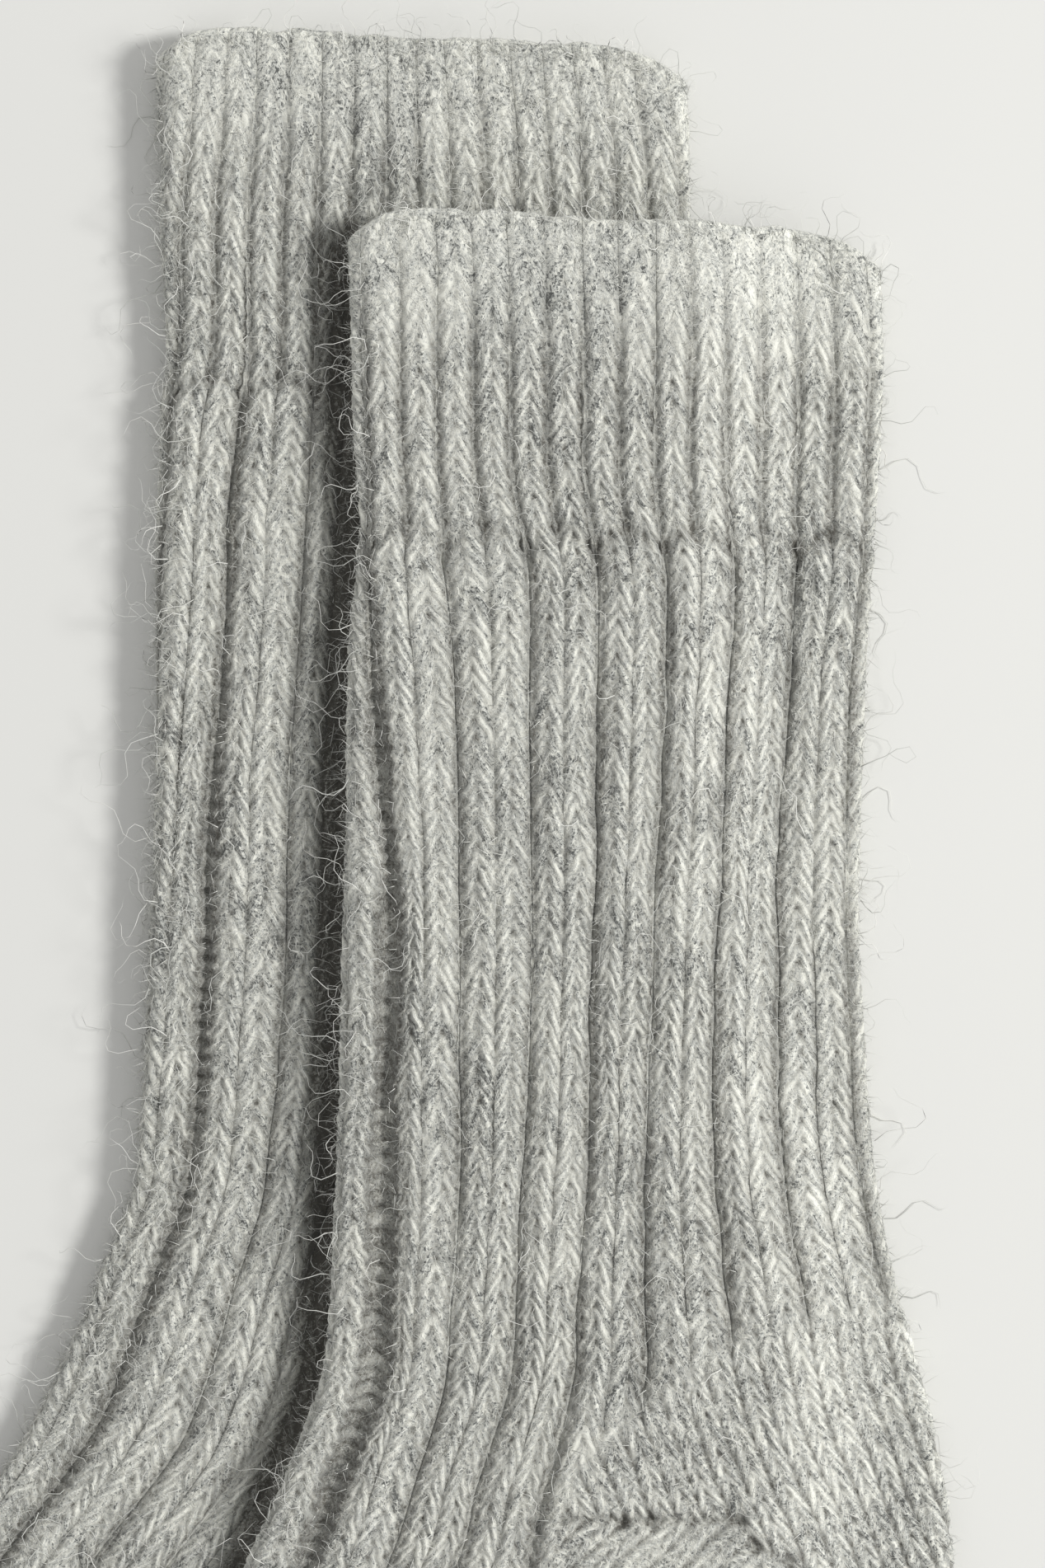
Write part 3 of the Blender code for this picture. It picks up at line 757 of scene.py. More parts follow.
def knit(sock, ring, number, course, settings, seed):
    """(stitch, relief, yarn, row, depth) over a grid of rings and points, arrays of rows by columns.

    A stitch's marks are where a place lies along and across its half, the half's key, and its row.

    A rib's height rises in a rounded shoulder from its gutters, and the ovals of the stitches stand on it.
    A gutter drops to its floor, where the purl bars lie. On the heel and sole the plain knitting takes over.

    The depth is a weight of painted shade: it darkens the places between the ovals, the gutters, the edges
    of the ribs and the groove between a rib's columns, the step under the cuff, the heel's gore and the
    underside, and on the rear sock it paints the front sock's shadow into the trough along that sock's edge.
    """
    number, course = number[:, None], course[:, None]
    shape = (len(number), len(ring.index))
    index, part, kind = (np.broadcast_to(a, shape) for a in (ring.index, ring.part, ring.kind))
    column, underneath = kind == IN_COLUMN, kind == UNDERNEATH
    slope, deep_stitch = settings.leg_slope, settings.stitch_depth
    stitch, start, stop, left_gap = ring_stitches(sock, ring, number, course, settings, seed)

    phase = course + course_sway(stitch, course, settings, seed)
    across_column = np.where(column, part, -1.0)
    oval, *marks = knit_stitch(across_column, phase, index, slope, seed)
    purl, *purl_marks = knit_purl(part, index, phase, seed + 7)

    ribs = np.mod(index, 2) == 0
    half_rib = (part + 1) / 2
    on_rib = np.where(column, np.where(ribs, half_rib - 1, half_rib), np.where(ribs, 1.0, 0.0))
    finger = number - FINGER_ROUNDING * on_rib**2
    low = smoothstep(finger, sock.cuff_end - 0.1, sock.cuff_end + 0.25)
    felt = felting(course)
    to_left = np.where(ribs, stitch - start, stitch - start + 2)
    to_right = np.where(ribs, stop - stitch + 2, stop - stitch)
    leg_edge = np.clip(np.minimum(to_left, to_right) / LEG_SHOULDER, 0, 1)
    cuff_edge = np.clip(np.minimum(stitch - start, stop - stitch) / CUFF_SHOULDER, 0, 1)
    leg_crest = LEG_RELIEF * (1 - (1 - leg_edge) ** 2.1)
    leg_crest = leg_crest * (1 + 0.12 * drift(index / 2.0, course / 6, seed + 12))
    cuff_low = 0.9 * LEG_RELIEF - CUFF_GROOVE * felt
    cuff_crest = cuff_low + CUFF_GROOVE * felt * (1 - (1 - cuff_edge) ** 2.0)
    crest = cuff_crest + (leg_crest - cuff_crest) * low
    crest = crest + FINGER_LIP * np.exp(-(((finger - sock.cuff_end - 0.24) / 0.13) ** 2))
    crest = crest - FINGER_DIP * np.exp(-(((finger - sock.cuff_end + 0.04) / 0.09) ** 2))
    to_middle = np.where(ribs, stop - stitch, stitch - start)
    middle = np.where(column, np.clip(1 - to_middle / MIDDLE_REACH, 0, 1) ** 2, ~ribs)
    middle = middle * low * (0.8 + 0.6 * drift(index * 3.3, course / 2.2, seed + 18))
    crisp = 0.95 + 0.55 * drift(stitch / 4.5, course / 5, seed + 16)
    column_relief = crest - deep_stitch * (1 - oval) * felt * crisp - MIDDLE_DEPTH * middle

    wide = smoothstep(left_gap, 0.38, 0.6) * ribs
    weight = gutter_weight(index, course, seed)
    bowl = 1 - np.abs(part) ** (1 + wide)
    leg_floor = -(settings.gutter_depth - LEG_RELIEF) * bowl * (1 + 0.6 * wide) * weight
    leg_floor = leg_floor + (purl - 1) * deep_stitch * (0.2 + 0.75 * wide)
    between = leg_crest - deep_stitch * (1 - oval) * crisp - MIDDLE_DEPTH * middle
    leg_floor = np.where(ribs, leg_floor, between)
    cuff_floor = cuff_low - 0.15 * MM * bowl - 0.5 * deep_stitch * felt
    relief = np.where(column, column_relief, cuff_floor + (leg_floor - cuff_floor) * low)
    grain = 0.15 * drift(stitch * 2.6, course * 2.9, seed + 21)
    grain = grain + 0.11 * drift(stitch * 4.9, course * 5.3, seed + 22)
    relief = relief + grain * MM

    # Painted shade: darker between the ovals and in the gutters, paler on the tops of the purl bars, darker
    # at the edges of the ribs and in the groove between a rib's two columns.
    in_leg = np.where(ribs, (0.8 + 0.3 * wide) * weight - 0.45 * wide * purl, 0.5 * hollow(oval))
    deep = np.where(column, 0.5 * hollow(oval) * felt, 0.55 * felt + (in_leg - 0.55 * felt) * low)
    purled = ~column & ribs
    leg_shade = 0.62 * weight * (1 - leg_edge) ** 2.5
    cuff_shade = 0.5 * felt * (1 - cuff_edge) ** 2.0
    shade_at_edges = cuff_shade + (leg_shade - cuff_shade) * low
    deep = np.where(column, deep + shade_at_edges, deep) + 0.3 * middle * ~underneath
    # Painted shade along the step where the leg's ribs start under the cuff.
    step_shade = 0.24 * (1 + 0.8 * drift(stitch / 1.3, index * 0.5, seed + 19))
    deep = deep + step_shade * np.exp(-(((finger - sock.cuff_end + 0.02) / 0.12) ** 2)) * ~underneath
    marks = [np.where(purled, on_purl, own) for on_purl, own in zip(purl_marks, marks)]
    relief = np.where(underneath, solid_relief(stitch, number) - 0.15 * deep_stitch, relief)

    points, _ = tube_points(number, stitch, 0.0)
    plan = points[..., :2]
    heel, sole = plain_shares(stitch, number, plan)
    h_oval, *heel_marks, furrow = heel_knit(plan, settings)
    heel_relief = LEG_RELIEF * 0.8 - deep_stitch * (1 - h_oval) * 1.1 - furrow * MM + grain * MM
    relief = relief + (heel_relief - relief) * heel * ~underneath

    sole_column = np.floor(stitch)
    s_oval, *sole_marks = knit_stitch(
        2 * (stitch - sole_column) - 1, phase * COURSE / (HEEL_COURSE_MM * MM), sole_column, slope, seed + 9
    )
    relief = relief + (LEG_RELIEF * 0.7 - deep_stitch * (1 - s_oval) - relief) * sole * ~underneath

    plainly, solely = heel > 0.5, sole > 0.5
    along, across, key, row = (
        np.where(plainly, on_heel, np.where(solely, on_sole, own))
        for own, on_heel, on_sole in zip(marks, heel_marks, sole_marks)
    )
    # Painted shade between the stitches of the heel and sole, and in the heel's gore.
    deep = deep + (0.5 * hollow(h_oval) + 0.6 * np.clip(furrow, 0, 1) - deep) * heel
    deep = deep + (0.5 * hollow(s_oval) - deep) * sole
    # Painted shade, even over the underside.
    deep = np.where(underneath, 0.2, deep)
    # Painted shadow: the trough that the front sock presses into the rear one is darkened as well as lowered.
    pressed = sock.pressed(plan)
    deep = deep + pressed / PRESS_DEPTH
    return stitch, relief - pressed - creases(plan), np.stack([along, across, key], axis=-1), row, deep


def evened(stitch, ring, number):
    """The stitches from the fourth gutter to the back crease, spread evenly over the plain heel."""
    heel = np.flatnonzero((ring.kind != UNDERNEATH) & (ring.index >= HEEL_FROM_COLUMN))
    if not len(heel):
        return stitch
    first, last = stitch[:, heel[:1]], stitch[:, heel[-1:]]
    even = first + (last - first) * np.linspace(0, 1, len(heel))
    stitch = stitch.copy()
    stitch[:, heel] += (even - stitch[:, heel]) * smoothstep(number, *EVEN_OVER)
    return stitch


def plain_shares(stitch, number, plan):
    """(heel, sole): how far the plain knitting of each has taken over from the ribs."""
    limit = np.array(RIBS_END_MM)
    past = np.interp(plan[..., 0] / MM, limit[:, 0], limit[:, 1]) - plan[..., 1] / MM
    from_crease = np.minimum(np.mod(stitch, STITCHES_ROUND), STITCHES_ROUND - np.mod(stitch, STITCHES_ROUND))
    beside = smoothstep(from_crease, INSTEP_STITCHES - 0.1, INSTEP_STITCHES + 0.3)
    in_heel = number < HEEL_END
    heel = smoothstep(past, -2.5, 3.5) * beside * smoothstep(number, 8.6, 9.2) * in_heel
    sole = np.maximum(plain_share(stitch, number), smoothstep(number, TOE_START - 0.5, TOE_START + 1))
    return heel, sole * ~in_heel


# ---------------------------------------------------------------- meshes


def grid_normals(points):
    """Unit normals of a grid of points that closes round its second side."""
    down = np.gradient(points, axis=0)
    round_ = np.roll(points, -1, axis=1) - np.roll(points, 1, axis=1)
    normal = np.cross(down, round_)
    return normal / np.maximum(np.linalg.norm(normal, axis=-1, keepdims=True), 1e-12)


def new_object(name, points, faces, material):
    """A mesh object at the origin: faces is an array of rows of point numbers, all of one length."""
    mesh = bpy.data.meshes.new(name)
    sides = faces.shape[1]
    mesh.vertices.add(len(points))
    mesh.vertices.foreach_set("co", points.astype(np.float32).ravel())
    mesh.loops.add(faces.size)
    mesh.loops.foreach_set("vertex_index", faces.astype(np.int32).ravel())
    mesh.polygons.add(len(faces))
    mesh.polygons.foreach_set("loop_start", np.arange(0, faces.size, sides, dtype=np.int32))
    mesh.update(calc_edges=True)
    mesh.materials.append(material)
    mesh.shade_smooth()
    thing = bpy.data.objects.new(name, mesh)
    bpy.context.scene.collection.objects.link(thing)
    return thing


def add_attribute(thing, name, kind, values):
    field = "vector" if kind == "FLOAT_VECTOR" else "value"
    layer = thing.data.attributes.new(name, kind, "POINT")
    layer.data.foreach_set(field, values.astype(np.float32).ravel())


def grid_faces(rings, count):
    """Quads of a grid of rings by points that closes round."""
    ring = np.arange(rings - 1)[:, None] * count
    here = ring + np.arange(count)[None, :]
    beside = ring + (np.arange(count)[None, :] + 1) % count
    return np.stack([here, here + count, beside + count, beside], axis=-1).reshape(-1, 4)


def close_tip(faces, points, count):
    """The quads cut into triangles, with a fan that closes the last ring over one more point."""
    last = points - count
    ends = np.arange(count)
    fan = np.stack([last + ends, np.full(count, points), last + (ends + 1) % count], axis=-1)
    return np.vstack([faces[:, [0, 1, 2]], faces[:, [0, 2, 3]], fan])


def band_numbers(start, stop, spacing):
    """Section numbers from start to stop, evenly spaced along the courses."""
    number, course = course_table()
    first, last = np.interp([start, stop], number, course) * COURSE
    steps = max(2, round((last - first) / spacing))
    return np.interp(np.linspace(first, last, steps + 1), course * COURSE, number)


def knit_band(sock, name, start, stop, spacing, settings, ring, rim=False, tip=False):
    """One band of a sock's skin, from one section number to another.

    The grid has one more ring at each end than the mesh, so that the normals at a seam agree with those of
    the next band; the toe keeps the normals of its own mesh. The cuff starts inside the sock and comes over
    its rim in a half circle.
    """
    table = course_table()
    number = band_numbers(start, stop, spacing)
    before, after = 2 * number[0] - number[1], 2 * number[-1] - number[-2]
    number = np.concatenate([[max(before, 0)], number, [min(after, TOE_END)]])
    course = np.interp(number, *table)
    seed = FRONT_SEED if sock.on_top else REAR_SEED
    stitch, relief, yarn, row, depth = knit(sock, ring, number, course, settings.knit, seed)
    points, _ = tube_points(number[:, None], stitch, relief)
    # The third number of the cloth attribute is the weight of the painted shade.
    cloth = np.stack([stitch * STITCH_MM, row, depth], axis=-1)
    if rim:
        points, yarn, cloth = add_rim(points[1:], yarn[1:], cloth[1:], stitch[1])
    placed = sock.placed(points)
    normals = grid_normals(placed)
    first = 0 if rim else 1
    placed, normals, yarn, cloth = (a[first:-1] for a in (placed, normals, yarn, cloth))
    rings, count = placed.shape[:2]
    faces = grid_faces(rings, count)
    vertices, normals, yarn, cloth = (a.reshape(-1, 3) for a in (placed, normals, yarn, cloth))
    if tip:
        faces = close_tip(faces, len(vertices), count)
        vertices, normals, yarn, cloth = (
            np.vstack([a, a[-count:].mean(axis=0)]) for a in (vertices, normals, yarn, cloth)
        )
    thing = new_object(name, vertices, faces, wool_material(settings))
    add_attribute(thing, "yarn", "FLOAT_VECTOR", yarn)
    add_attribute(thing, "cloth", "FLOAT_VECTOR", cloth)
    if not tip:
        thing.data.normals_split_custom_set_from_vertices(normals)
    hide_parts(sock.node)
    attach(thing, "root")
    return thing


def add_rim(points, yarn, cloth, stitch):
    """The cuff's rings with the inside and the rim put before them.

    The inside rings follow the inner skin up to the mouth. The rim is a half circle in each point's own
    plane, from the inner skin over the edge to the outer skin.
    """
    inside_number = np.linspace(INSIDE_DEPTH, 0, INSIDE_RINGS)
    inside, _ = tube_points(inside_number[:, None], stitch[None, :], 0.0, inner=True)
    inner_edge, outer_edge = inside[-1], points[0]
    middle, reach = (inner_edge + outer_edge) / 2, (outer_edge - inner_edge) / 2
    turn = np.linspace(0, math.pi, RIM_RINGS + 2)[1:-1][:, None, None]
    away = np.array([0.0, 1.0, 0.0])
    uneven = 0.75 + 0.35 * drift(stitch / 1.3, np.zeros_like(stitch), 71)
    height = np.linalg.norm(reach, axis=-1) * uneven
    rim = middle - reach * np.cos(turn) + away * np.sin(turn) * height[:, None]
    rings = INSIDE_RINGS + RIM_RINGS
    soft = np.repeat(yarn[:1], rings, axis=0)
    soft[..., 1] += np.linspace(-3, 0, rings)[:, None]
    edge_cloth = np.repeat(cloth[:1], rings, axis=0)
    edge_cloth[..., 1] = np.linspace(-12, -1, rings)[:, None]
    # Painted shade inside the mouth, none over the rim.
    edge_cloth[..., 2] = np.concatenate([np.full(INSIDE_RINGS, 0.5), np.full(RIM_RINGS, 0.0)])[:, None]
    return np.vstack([inside, rim, points]), np.vstack([soft, yarn]), np.vstack([edge_cloth, cloth])


# ---------------------------------------------------------------- materials


class Value:
    """An output in a material's node tree. Arithmetic on it adds Math nodes."""

    def __init__(self, tree, output=None):
        self.tree = tree
        self.output = output

    def node(self, kind, settings=None, sockets=None, output=0):
        """A new node of this type: its settings are set first, then the values or links of its sockets."""
        made = self.tree.nodes.new(kind)
        for name, value in (settings or {}).items():
            setattr(made, name, value)
        for name, value in (sockets or {}).items():
            if isinstance(value, Value):
                self.tree.links.new(value.output, made.inputs[name])
            else:
                made.inputs[name].default_value = value
        return Value(self.tree, made.outputs[output])

    def math(self, operation, *values, clamp=False):
        settings = {"operation": operation, "use_clamp": clamp}
        return self.node("ShaderNodeMath", settings, dict(enumerate(values)))

    def __add__(self, other):
        return self.math("ADD", self, other)

    __radd__ = __add__

    def __mul__(self, other):
        return self.math("MULTIPLY", self, other)

    __rmul__ = __mul__

    def __sub__(self, other):
        return self.math("SUBTRACT", self, other)

    def __rsub__(self, other):
        return self.math("SUBTRACT", other, self)

    def __truediv__(self, other):
        return self.math("DIVIDE", self, other)

    def __abs__(self):
        return self.math("ABSOLUTE", self)

    def clamped(self):
        return self.math("ADD", self, 0.0, clamp=True)

    def parts(self):
        """The three numbers of a vector."""
        return [self.node("ShaderNodeSeparateXYZ", None, {0: self}, output=k) for k in range(3)]

    def vector(self, x, y, z):
        return self.node("ShaderNodeCombineXYZ", None, {0: x, 1: y, 2: z})

    def attribute(self, name):
        return self.node("ShaderNodeAttribute", {"attribute_name": name}, output="Vector")

    def noise(self, where, scale=1.0, detail=2.0, roughness=0.5, distortion=0.0):
        sockets = {"Vector": where, "Scale": scale, "Detail": detail}
        sockets.update({"Roughness": roughness, "Distortion": distortion})
        return self.node("ShaderNodeTexNoise", None, sockets)

    def hairs(self, where, scale, shift):
        """Thin bent lines, broken by a second noise: the places where a noise passes through its middle."""
        moved = self.node("ShaderNodeVectorMath", {"operation": "ADD"}, {0: where, 1: (shift, shift, 0.0)})
        curve = self.noise(moved, scale=scale, detail=1.0, distortion=0.8)
        shown = self.noise(moved, scale=scale * 0.5, detail=1.0)
        return (1 - (abs(curve - 0.5) * 30.0).clamped()) * shown.rising(0.44, 0.54)

    def mixed(self, share, first, second):
        """A colour between two, by a share from 0 to 1."""
        settings = {"data_type": "RGBA"}
        return self.node("ShaderNodeMix", settings, {"Factor": share, 6: first, 7: second}, output=2)

    def rising(self, low, high):
        """A smooth step of this number from 0 at low to 1 at high."""
        settings = {"interpolation_type": "SMOOTHSTEP"}
        sockets = {"Value": self, "From Min": low, "From Max": high}
        return self.node("ShaderNodeMapRange", settings, sockets)


def new_material(name, roughness, specular):
    """(material, its shader node, a Value to build from) of a new material."""
    material = bpy.data.materials.new(name)
    material.use_nodes = True
    shader = material.node_tree.nodes["Principled BSDF"]
    shader.inputs["Roughness"].default_value = roughness
    shader.inputs["Specular IOR Level"].default_value = specular
    return material, shader, Value(material.node_tree)


def colour(rgb):
    return (*rgb, 1.0)


def wool_material(settings):
    """Mixed wool.

    Light and dark fibres streak each half stitch, the yarn of every course turns paler and darker along it,
    thin bent hairs cross the streaks, and painted shade, the shadow colour mixed in by the knitting's depth,
    darkens the gutters, the places between stitches and the trough under the front sock's edge.
    """
    found = bpy.data.materials.get("mixed_wool")
    if found:
        return found
    wool = settings.wool
    material, shader, build = new_material("mixed_wool", 0.95, 0.15)
    along, across, key = build.attribute("yarn").parts()
    girth, row, depth = build.attribute("cloth").parts()
    place = build.node("ShaderNodeTexCoord", output="Object")
    streak = build.noise(build.vector(along * 2.4, across * 6.5, key * 5.1), detail=4.0, roughness=0.75)
    yarn = build.noise(build.vector(girth * 0.11, row * 3.7, 3.0), detail=2.0, roughness=0.6)
    half_stitch = build.noise(build.vector(key * 7.7, row * 5.3, 1.0), detail=0.0)
    broad = build.noise(build.vector(girth * 0.05, row * 0.09, 9.0), detail=1.0)
    grain = build.noise(place, scale=1900.0, detail=3.0, roughness=0.75)
    pale_hair = build.hairs(place, 430.0, 0.0) + build.hairs(place, 760.0, 0.31)
    dark_hair = build.hairs(place, 610.0, 0.67)
    tone = 0.62 + (streak - 0.5) * 2.4 + (yarn - 0.5) * 1.6 + (half_stitch - 0.5) * 0.7
    tone = tone + (broad - 0.5) * 0.5 + (grain - 0.5) * 2.6 + pale_hair * 0.8 - dark_hair * 0.45
    pale = build.mixed(tone.rising(0.5, 1.0), colour(wool.middle), colour(wool.light))
    base = build.mixed(tone.rising(0.52, 0.0), pale, colour(wool.dark))
    # Painted shade: the shadow colour mixed in by the depth of the knitting, broken up by the grain.
    deep = (depth * (grain * 2.6 - 0.45)).clamped()
    shaded = build.mixed(deep, base, colour(SHADOW_COLOUR))
    bump_height = streak * 0.5 + grain * 0.4 + pale_hair * 0.6
    sockets = {"Height": bump_height, "Strength": 0.7, "Distance": BUMP_DEPTH}
    bump = build.node("ShaderNodeBump", None, sockets)
    build.tree.links.new(shaded.output, shader.inputs["Base Color"])
    build.tree.links.new(bump.output, shader.inputs["Normal"])
    shader.inputs["Sheen Weight"].default_value = 0.3
    shader.inputs["Sheen Roughness"].default_value = 0.5
    return material


def fibre_material(settings):
    """Loose fibres, from the wool's middle colour to its palest, each of one shade."""
    found = bpy.data.materials.get("loose_fibres")
    if found:
        return found
    material, shader, build = new_material("loose_fibres", 0.6, 0.3)
    shade = build.attribute("shade").parts()[0]
    fibre = build.mixed(shade, colour(settings.wool.middle), colour(PALEST_FIBRE))
    build.tree.links.new(fibre.output, shader.inputs["Base Color"])
    return material


def table_material(settings):
    """A smooth pale table top with a faint unevenness of tone."""
    material, shader, build = new_material("table_top", 0.9, 0.1)
    place = build.node("ShaderNodeTexCoord", output="Object")
    cloud = build.noise(place, scale=6.0, detail=2.0)
    pale = settings.stage.table_colour
    tone = build.mixed(cloud, tuple(c * 0.99 for c in pale) + (1.0,), tuple(c * 1.01 for c in pale) + (1.0,))
    build.tree.links.new(tone.output, shader.inputs["Base Color"])
    return material


# ---------------------------------------------------------------- loose fibres


def fibre_tubes(line, width, rng):
    """(points, triangles) of three-sided tapering tubes round many lines at once.

    line is fibres by points by 3. Each point but the last gets three corners round the line, at right
    angles to it, and the last is the tip.
    """
    fibres, steps = line.shape[:2]
    rings = steps - 1
    along = np.gradient(line, axis=1)
    along /= np.maximum(np.linalg.norm(along, axis=-1, keepdims=True), 1e-12)
    aside = rng.normal(size=(fibres, 1, 3))
    first = np.cross(along, aside)
    first /= np.maximum(np.linalg.norm(first, axis=-1, keepdims=True), 1e-12)
    second = np.cross(along, first)
    radius = width[:, None] / 2 * np.linspace(1, 0.35, rings)[None, :]
    corner = []
    for turn in (0, 2 * math.pi / 3, 4 * math.pi / 3):
        reach = first * math.cos(turn) + second * math.sin(turn)
        corner.append(line[:, :rings] + reach[:, :rings] * radius[..., None])
    body = np.stack(corner, axis=2).reshape(fibres, rings * 3, 3)
    points = np.concatenate([body, line[:, -1:]], axis=1)
    side = np.arange(3)
    other = (side + 1) % 3
    here = np.arange(rings - 1)[:, None] * 3
    lower = np.stack([here + side, here + other, here + 3 + side], axis=-1).reshape(-1, 3)
    upper = np.stack([here + other, here + 3 + other, here + 3 + side], axis=-1).reshape(-1, 3)
    last = (rings - 1) * 3
    tip = np.stack([last + side, last + other, np.full(3, rings * 3)], axis=-1)
    faces = np.vstack([lower, upper, tip, [[2, 1, 0]]])
    offset = np.arange(fibres)[:, None, None] * (rings * 3 + 1)
    return points.reshape(-1, 3), (faces[None] + offset).reshape(-1, 3)


def fibre_roots(sock, count, rng):
    """(points, outward, at_rim) at random places of the skin that shows: more at the creases and the rim."""
    number, course = course_table()
    reach = np.interp(HEEL_END if sock.on_top else LAST_ROW + 1.0, number, course)
    which = rng.random(count)
    if sock.on_top:
        stitch = rng.uniform(*FRONT_FACE, count)
        stitch = np.where(which < FRONT_CREASE_BELOW, rng.uniform(*FRONT_CREASE, count), stitch)
        at_back = (which > FRONT_CREASE_BELOW) & (which < BACK_CREASE_BELOW)
        stitch = np.where(at_back, rng.uniform(*BACK_CREASE, count), stitch)
    else:
        stitch = rng.uniform(*REAR_FACE, count)
        stitch = np.where(which < REAR_CREASE_BELOW, rng.uniform(*REAR_CREASE, count), stitch)
    down = rng.uniform(0, reach, count)
    if not sock.on_top:
        upper = which > REAR_TOP_ABOVE
        stitch = np.where(upper, rng.uniform(*REAR_TOP, count), stitch)
        down = np.where(upper, rng.uniform(0, REAR_TOP_COURSES, count), down)
    at_rim = which > RIM_ABOVE
    stitch = np.where(at_rim, rng.uniform(*RIM, count), stitch)
    down = np.where(at_rim, rng.uniform(0, 1, count) ** 3 * RIM_COURSES, down)
    number_there = np.interp(down, course, number)
    points, outward = tube_points(number_there, stitch, LEG_RELIEF * 0.6)
    outward[:, 1] += np.where(at_rim, rng.uniform(*RIM_LEAN, count), 0.0)
    outward /= np.linalg.norm(outward, axis=-1, keepdims=True)
    points[:, 2] -= sock.pressed(points[:, :2])
    return sock.placed(points), outward, at_rim


def add_fuzz(sock, name, settings, long_ones):
    """Loose fibres: short ones that lean off the skin, or long ones that curl in the plane above it.

    A fibre's heading turns steadily along it, with a slow wave on a long one, and its points are the running
    sum of its steps. A short one also rises from the skin in proportion to its length.
    """
    seed, points_each, shortest, longest, bend, width_share = LONG_FIBRES if long_ones else SHORT_FIBRES
    rng = np.random.default_rng(seed + sock.on_top * 10)
    fuzz = settings.fuzz
    count = fuzz.long_count if long_ones else fuzz.short_count
    root, outward, at_rim = fibre_roots(sock, count, rng)
    share = np.linspace(0, 1, points_each)
    length = rng.uniform(shortest, longest, count) * MM
    length = np.where(at_rim, length * 0.7, length)
    turning = rng.normal(0, bend, count)
    wave = rng.uniform(0, 2 * math.pi, (count, 1))
    away = np.where(at_rim, rng.normal(math.pi / 2, 0.9, count), rng.uniform(0, 2 * math.pi, count))
    heading = away[:, None] + turning[:, None] * share
    if long_ones:
        heading = heading + 0.9 * np.sin(2 * math.pi * 1.3 * share + wave)
    step = np.stack([np.cos(heading), np.sin(heading), np.zeros_like(heading)], axis=-1) / (points_each - 1)
    flat = np.concatenate([np.zeros((count, 1, 3)), np.cumsum(step[:, 1:], axis=1)], axis=1)
    if long_ones:
        rise = rng.uniform(0.4, 1.6, count)[:, None] * np.sin(math.pi * share) * MM + 0.25 * MM
        slope = outward[:, None, :] * (rise[..., None] + 0.10 * share[:, None] * length[:, None, None])
    else:
        lift = rng.uniform(0.03, 0.4, count)
        slope = outward[:, None, :] * (lift * length)[:, None, None] * (share**0.8)[:, None]
    line = root[:, None, :] + flat * length[:, None, None] + slope
    line[..., 2] = np.maximum(line[..., 2], 0.3 * MM)
    width = fuzz.fibre_width * rng.uniform(0.55, 1.2, count) * width_share
    points, faces = fibre_tubes(line, width, rng)
    thing = new_object(name, points, faces, fibre_material(settings))
    shade = np.repeat(rng.random(count) ** 1.2, len(points) // count)
    add_attribute(thing, "shade", "FLOAT_VECTOR", np.stack([shade, shade, shade], axis=-1))
    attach(thing, "root")
    return thing


# ---------------------------------------------------------------- operators


SOCKS = {}


def sock_pair():
    """The two socks' places, worked out once."""
    if not SOCKS:
        SOCKS["rear"] = Sock("sock_rear", "wool_rear", False)
        SOCKS["front"] = Sock("sock_front", "wool_front", True)
    return SOCKS


def flat_size(start, stop):
    """The opened band: the mean girth of the flattened sections, and the length of the middle line."""
    front, back, thick, _ = section_at(np.linspace(start, stop, 200))
    across = np.linalg.norm(back - front, axis=1)
    girth = 2 * np.maximum(across - thick, 0) + math.pi * thick
    middle = (front + back) / 2
    return float(girth.mean()), float(np.linalg.norm(np.diff(middle, axis=0), axis=1).sum())


class SockOperator:
    """What the operators of the bands share."""

    bl_options = {"REGISTER", "UNDO"}

    def make(self, context, part, **kind):
        settings = context.scene.wool_socks
        for name, sock in sock_pair().items():
            start, stop, spacing, *columns = BANDS[name, part]
            ring = Ring(*columns)
            thing = knit_band(sock, f"{name}_{part}", start, stop, spacing * MM, settings, ring, **kind)
            width, length = flat_size(start, stop)
            if kind.get("rim"):
                length += flat_size(0.0, INSIDE_DEPTH)[1]
        return {"FINISHED"}


class WOOLSOCKS_OT_cuffs(SockOperator, bpy.types.Operator):
    """Knit the two cuffs, with their rims and a little of the inside"""

    bl_idname = "wool_socks.cuffs"
    bl_label = "Cuffs"

    def execute(self, context):
        return self.make(context, "cuff", rim=True)


class WOOLSOCKS_OT_legs(SockOperator, bpy.types.Operator):
    """Knit the ribbed legs"""

    bl_idname = "wool_socks.legs"
    bl_label = "Legs"

    def execute(self, context):
        return self.make(context, "leg")


class WOOLSOCKS_OT_heels(SockOperator, bpy.types.Operator):
    """Knit the ankles and the heels"""

    bl_idname = "wool_socks.heels"
    bl_label = "Heels"

    def execute(self, context):
        return self.make(context, "heel")


class WOOLSOCKS_OT_feet(SockOperator, bpy.types.Operator):
    """Knit the feet"""

    bl_idname = "wool_socks.feet"
    bl_label = "Feet"

    def execute(self, context):
        return self.make(context, "foot")


class WOOLSOCKS_OT_toes(SockOperator, bpy.types.Operator):
    """Knit the rounded toes"""

    bl_idname = "wool_socks.toes"
    bl_label = "Toes"

    def execute(self, context):
        return self.make(context, "toe", tip=True)


class WOOLSOCKS_OT_fuzz(bpy.types.Operator):
    """Add the loose fibres"""

    bl_idname = "wool_socks.fuzz"
    bl_label = "Loose fibres"
    bl_options = {"REGISTER", "UNDO"}

    def execute(self, context):
        settings = context.scene.wool_socks
        for name, sock in sock_pair().items():
            add_fuzz(sock, f"{name}_short_fibres", settings, False)
            add_fuzz(sock, f"{name}_long_fibres", settings, True)
        return {"FINISHED"}


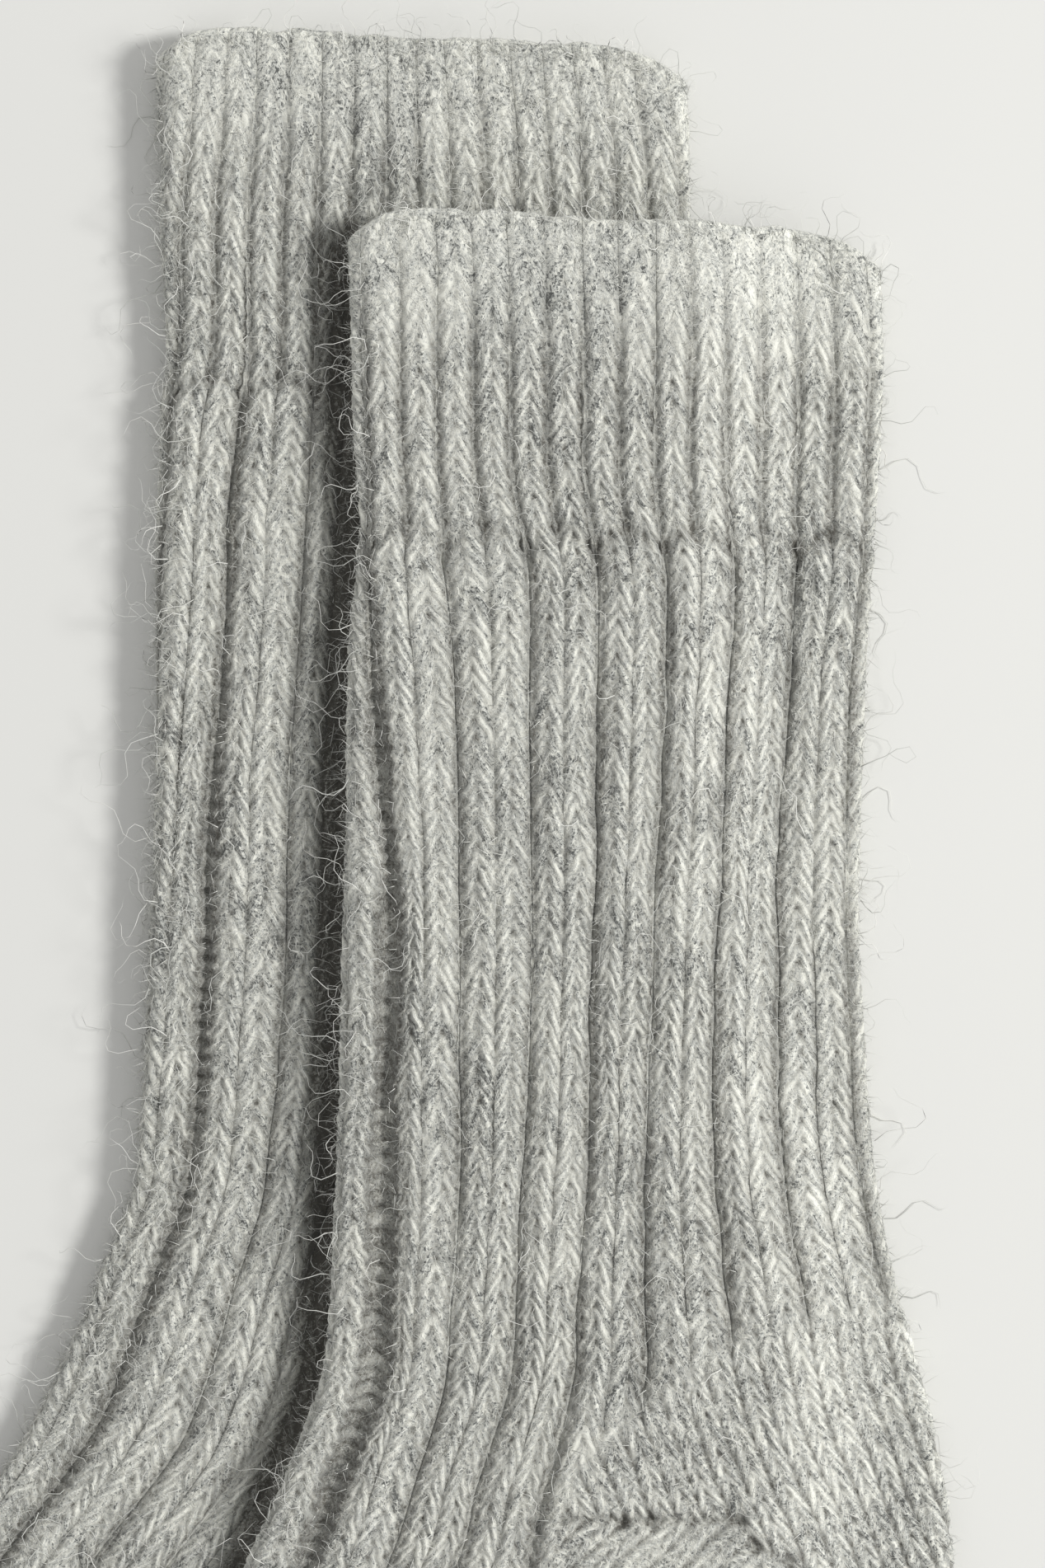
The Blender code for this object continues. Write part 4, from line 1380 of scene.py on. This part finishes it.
class WOOLSOCKS_OT_stage(bpy.types.Operator):
    """Set out the table, the lights and the camera straight above"""

    bl_idname = "wool_socks.stage"
    bl_label = "Table, lights and camera"
    bl_options = {"REGISTER", "UNDO"}

    def execute(self, context):
        settings = context.scene.wool_socks
        scene = context.scene
        front = sock_pair()["front"]
        half = TABLE_HALF
        corners = np.array([[-half, -half, 0], [half, -half, 0], [half, half, 0], [-half, half, 0]])
        table = new_object("table_top", corners, np.array([[0, 1, 2, 3]]), table_material(settings))

        middle = np.array(PHOTO_SIZE) / 2 - np.array(PHOTO_ORIGIN)
        target = middle * (1, -1) / PHOTO_SCALE * MM + front.shift
        height = PHOTO_SIZE[1] / PHOTO_SCALE * MM
        data = bpy.data.cameras.new("camera")
        data.sensor_width = SENSOR_WIDTH_MM
        data.lens = settings.stage.lens
        away = height * data.lens / data.sensor_width
        camera = bpy.data.objects.new("camera", data)
        camera.location = (*target, away + front.rest_height)
        scene.collection.objects.link(camera)
        scene.camera = camera

        elevation, azimuth = settings.stage.light_elevation, settings.stage.light_azimuth
        reach, level = LIGHT_REACH, math.cos(elevation)
        toward = np.array([level * math.cos(azimuth), level * math.sin(azimuth), math.sin(elevation)])
        lamp = bpy.data.lights.new("window_light", "AREA")
        lamp.shape = "DISK"
        lamp.size = LIGHT_WIDTH
        lamp.energy = LIGHT_WATTS
        lamp.color = LIGHT_COLOUR
        light = bpy.data.objects.new("window_light", lamp)
        light.location = (target[0] + toward[0] * reach, target[1] + toward[1] * reach, toward[2] * reach)
        turned = np.arctan2(math.hypot(toward[0], toward[1]), toward[2])
        light.rotation_euler = (turned, 0.0, azimuth + math.pi / 2)
        scene.collection.objects.link(light)

        world = bpy.data.worlds.new("soft_room")
        world.use_nodes = True
        world.node_tree.nodes["Background"].inputs["Color"].default_value = (1.0, 1.0, 1.0, 1.0)
        world.node_tree.nodes["Background"].inputs["Strength"].default_value = ROOM_LIGHT
        scene.world = world
        scene.view_settings.view_transform = "Standard"
        return {"FINISHED"}


OPERATORS = (
    WOOLSOCKS_OT_stage,
    WOOLSOCKS_OT_cuffs,
    WOOLSOCKS_OT_legs,
    WOOLSOCKS_OT_heels,
    WOOLSOCKS_OT_feet,
    WOOLSOCKS_OT_toes,
    WOOLSOCKS_OT_fuzz,
)


class WOOLSOCKS_PT_panel(bpy.types.Panel):
    """The socks' pieces, in the order in which they are made"""

    bl_idname = "WOOLSOCKS_PT_panel"
    bl_label = "Wool socks"
    bl_space_type = "VIEW_3D"
    bl_region_type = "UI"
    bl_category = "Socks"

    def draw(self, context):
        for operator in OPERATORS:
            self.layout.operator(operator.bl_idname, text=operator.bl_label)


SETTINGS = (KnitSettings, WoolSettings, FuzzSettings, StageSettings, SockSettings)
CLASSES = (*SETTINGS, *OPERATORS, WOOLSOCKS_PT_panel)


def register():
    for cls in CLASSES:
        bpy.utils.register_class(cls)
    bpy.types.Scene.wool_socks = PointerProperty(type=SockSettings)


def unregister():
    del bpy.types.Scene.wool_socks
    for cls in reversed(CLASSES):
        bpy.utils.unregister_class(cls)


def main():
    register()
    for operator in OPERATORS:
        family, name = operator.bl_idname.split(".")
        getattr(getattr(bpy.ops, family), name)()


if __name__ == "__main__":
    main()
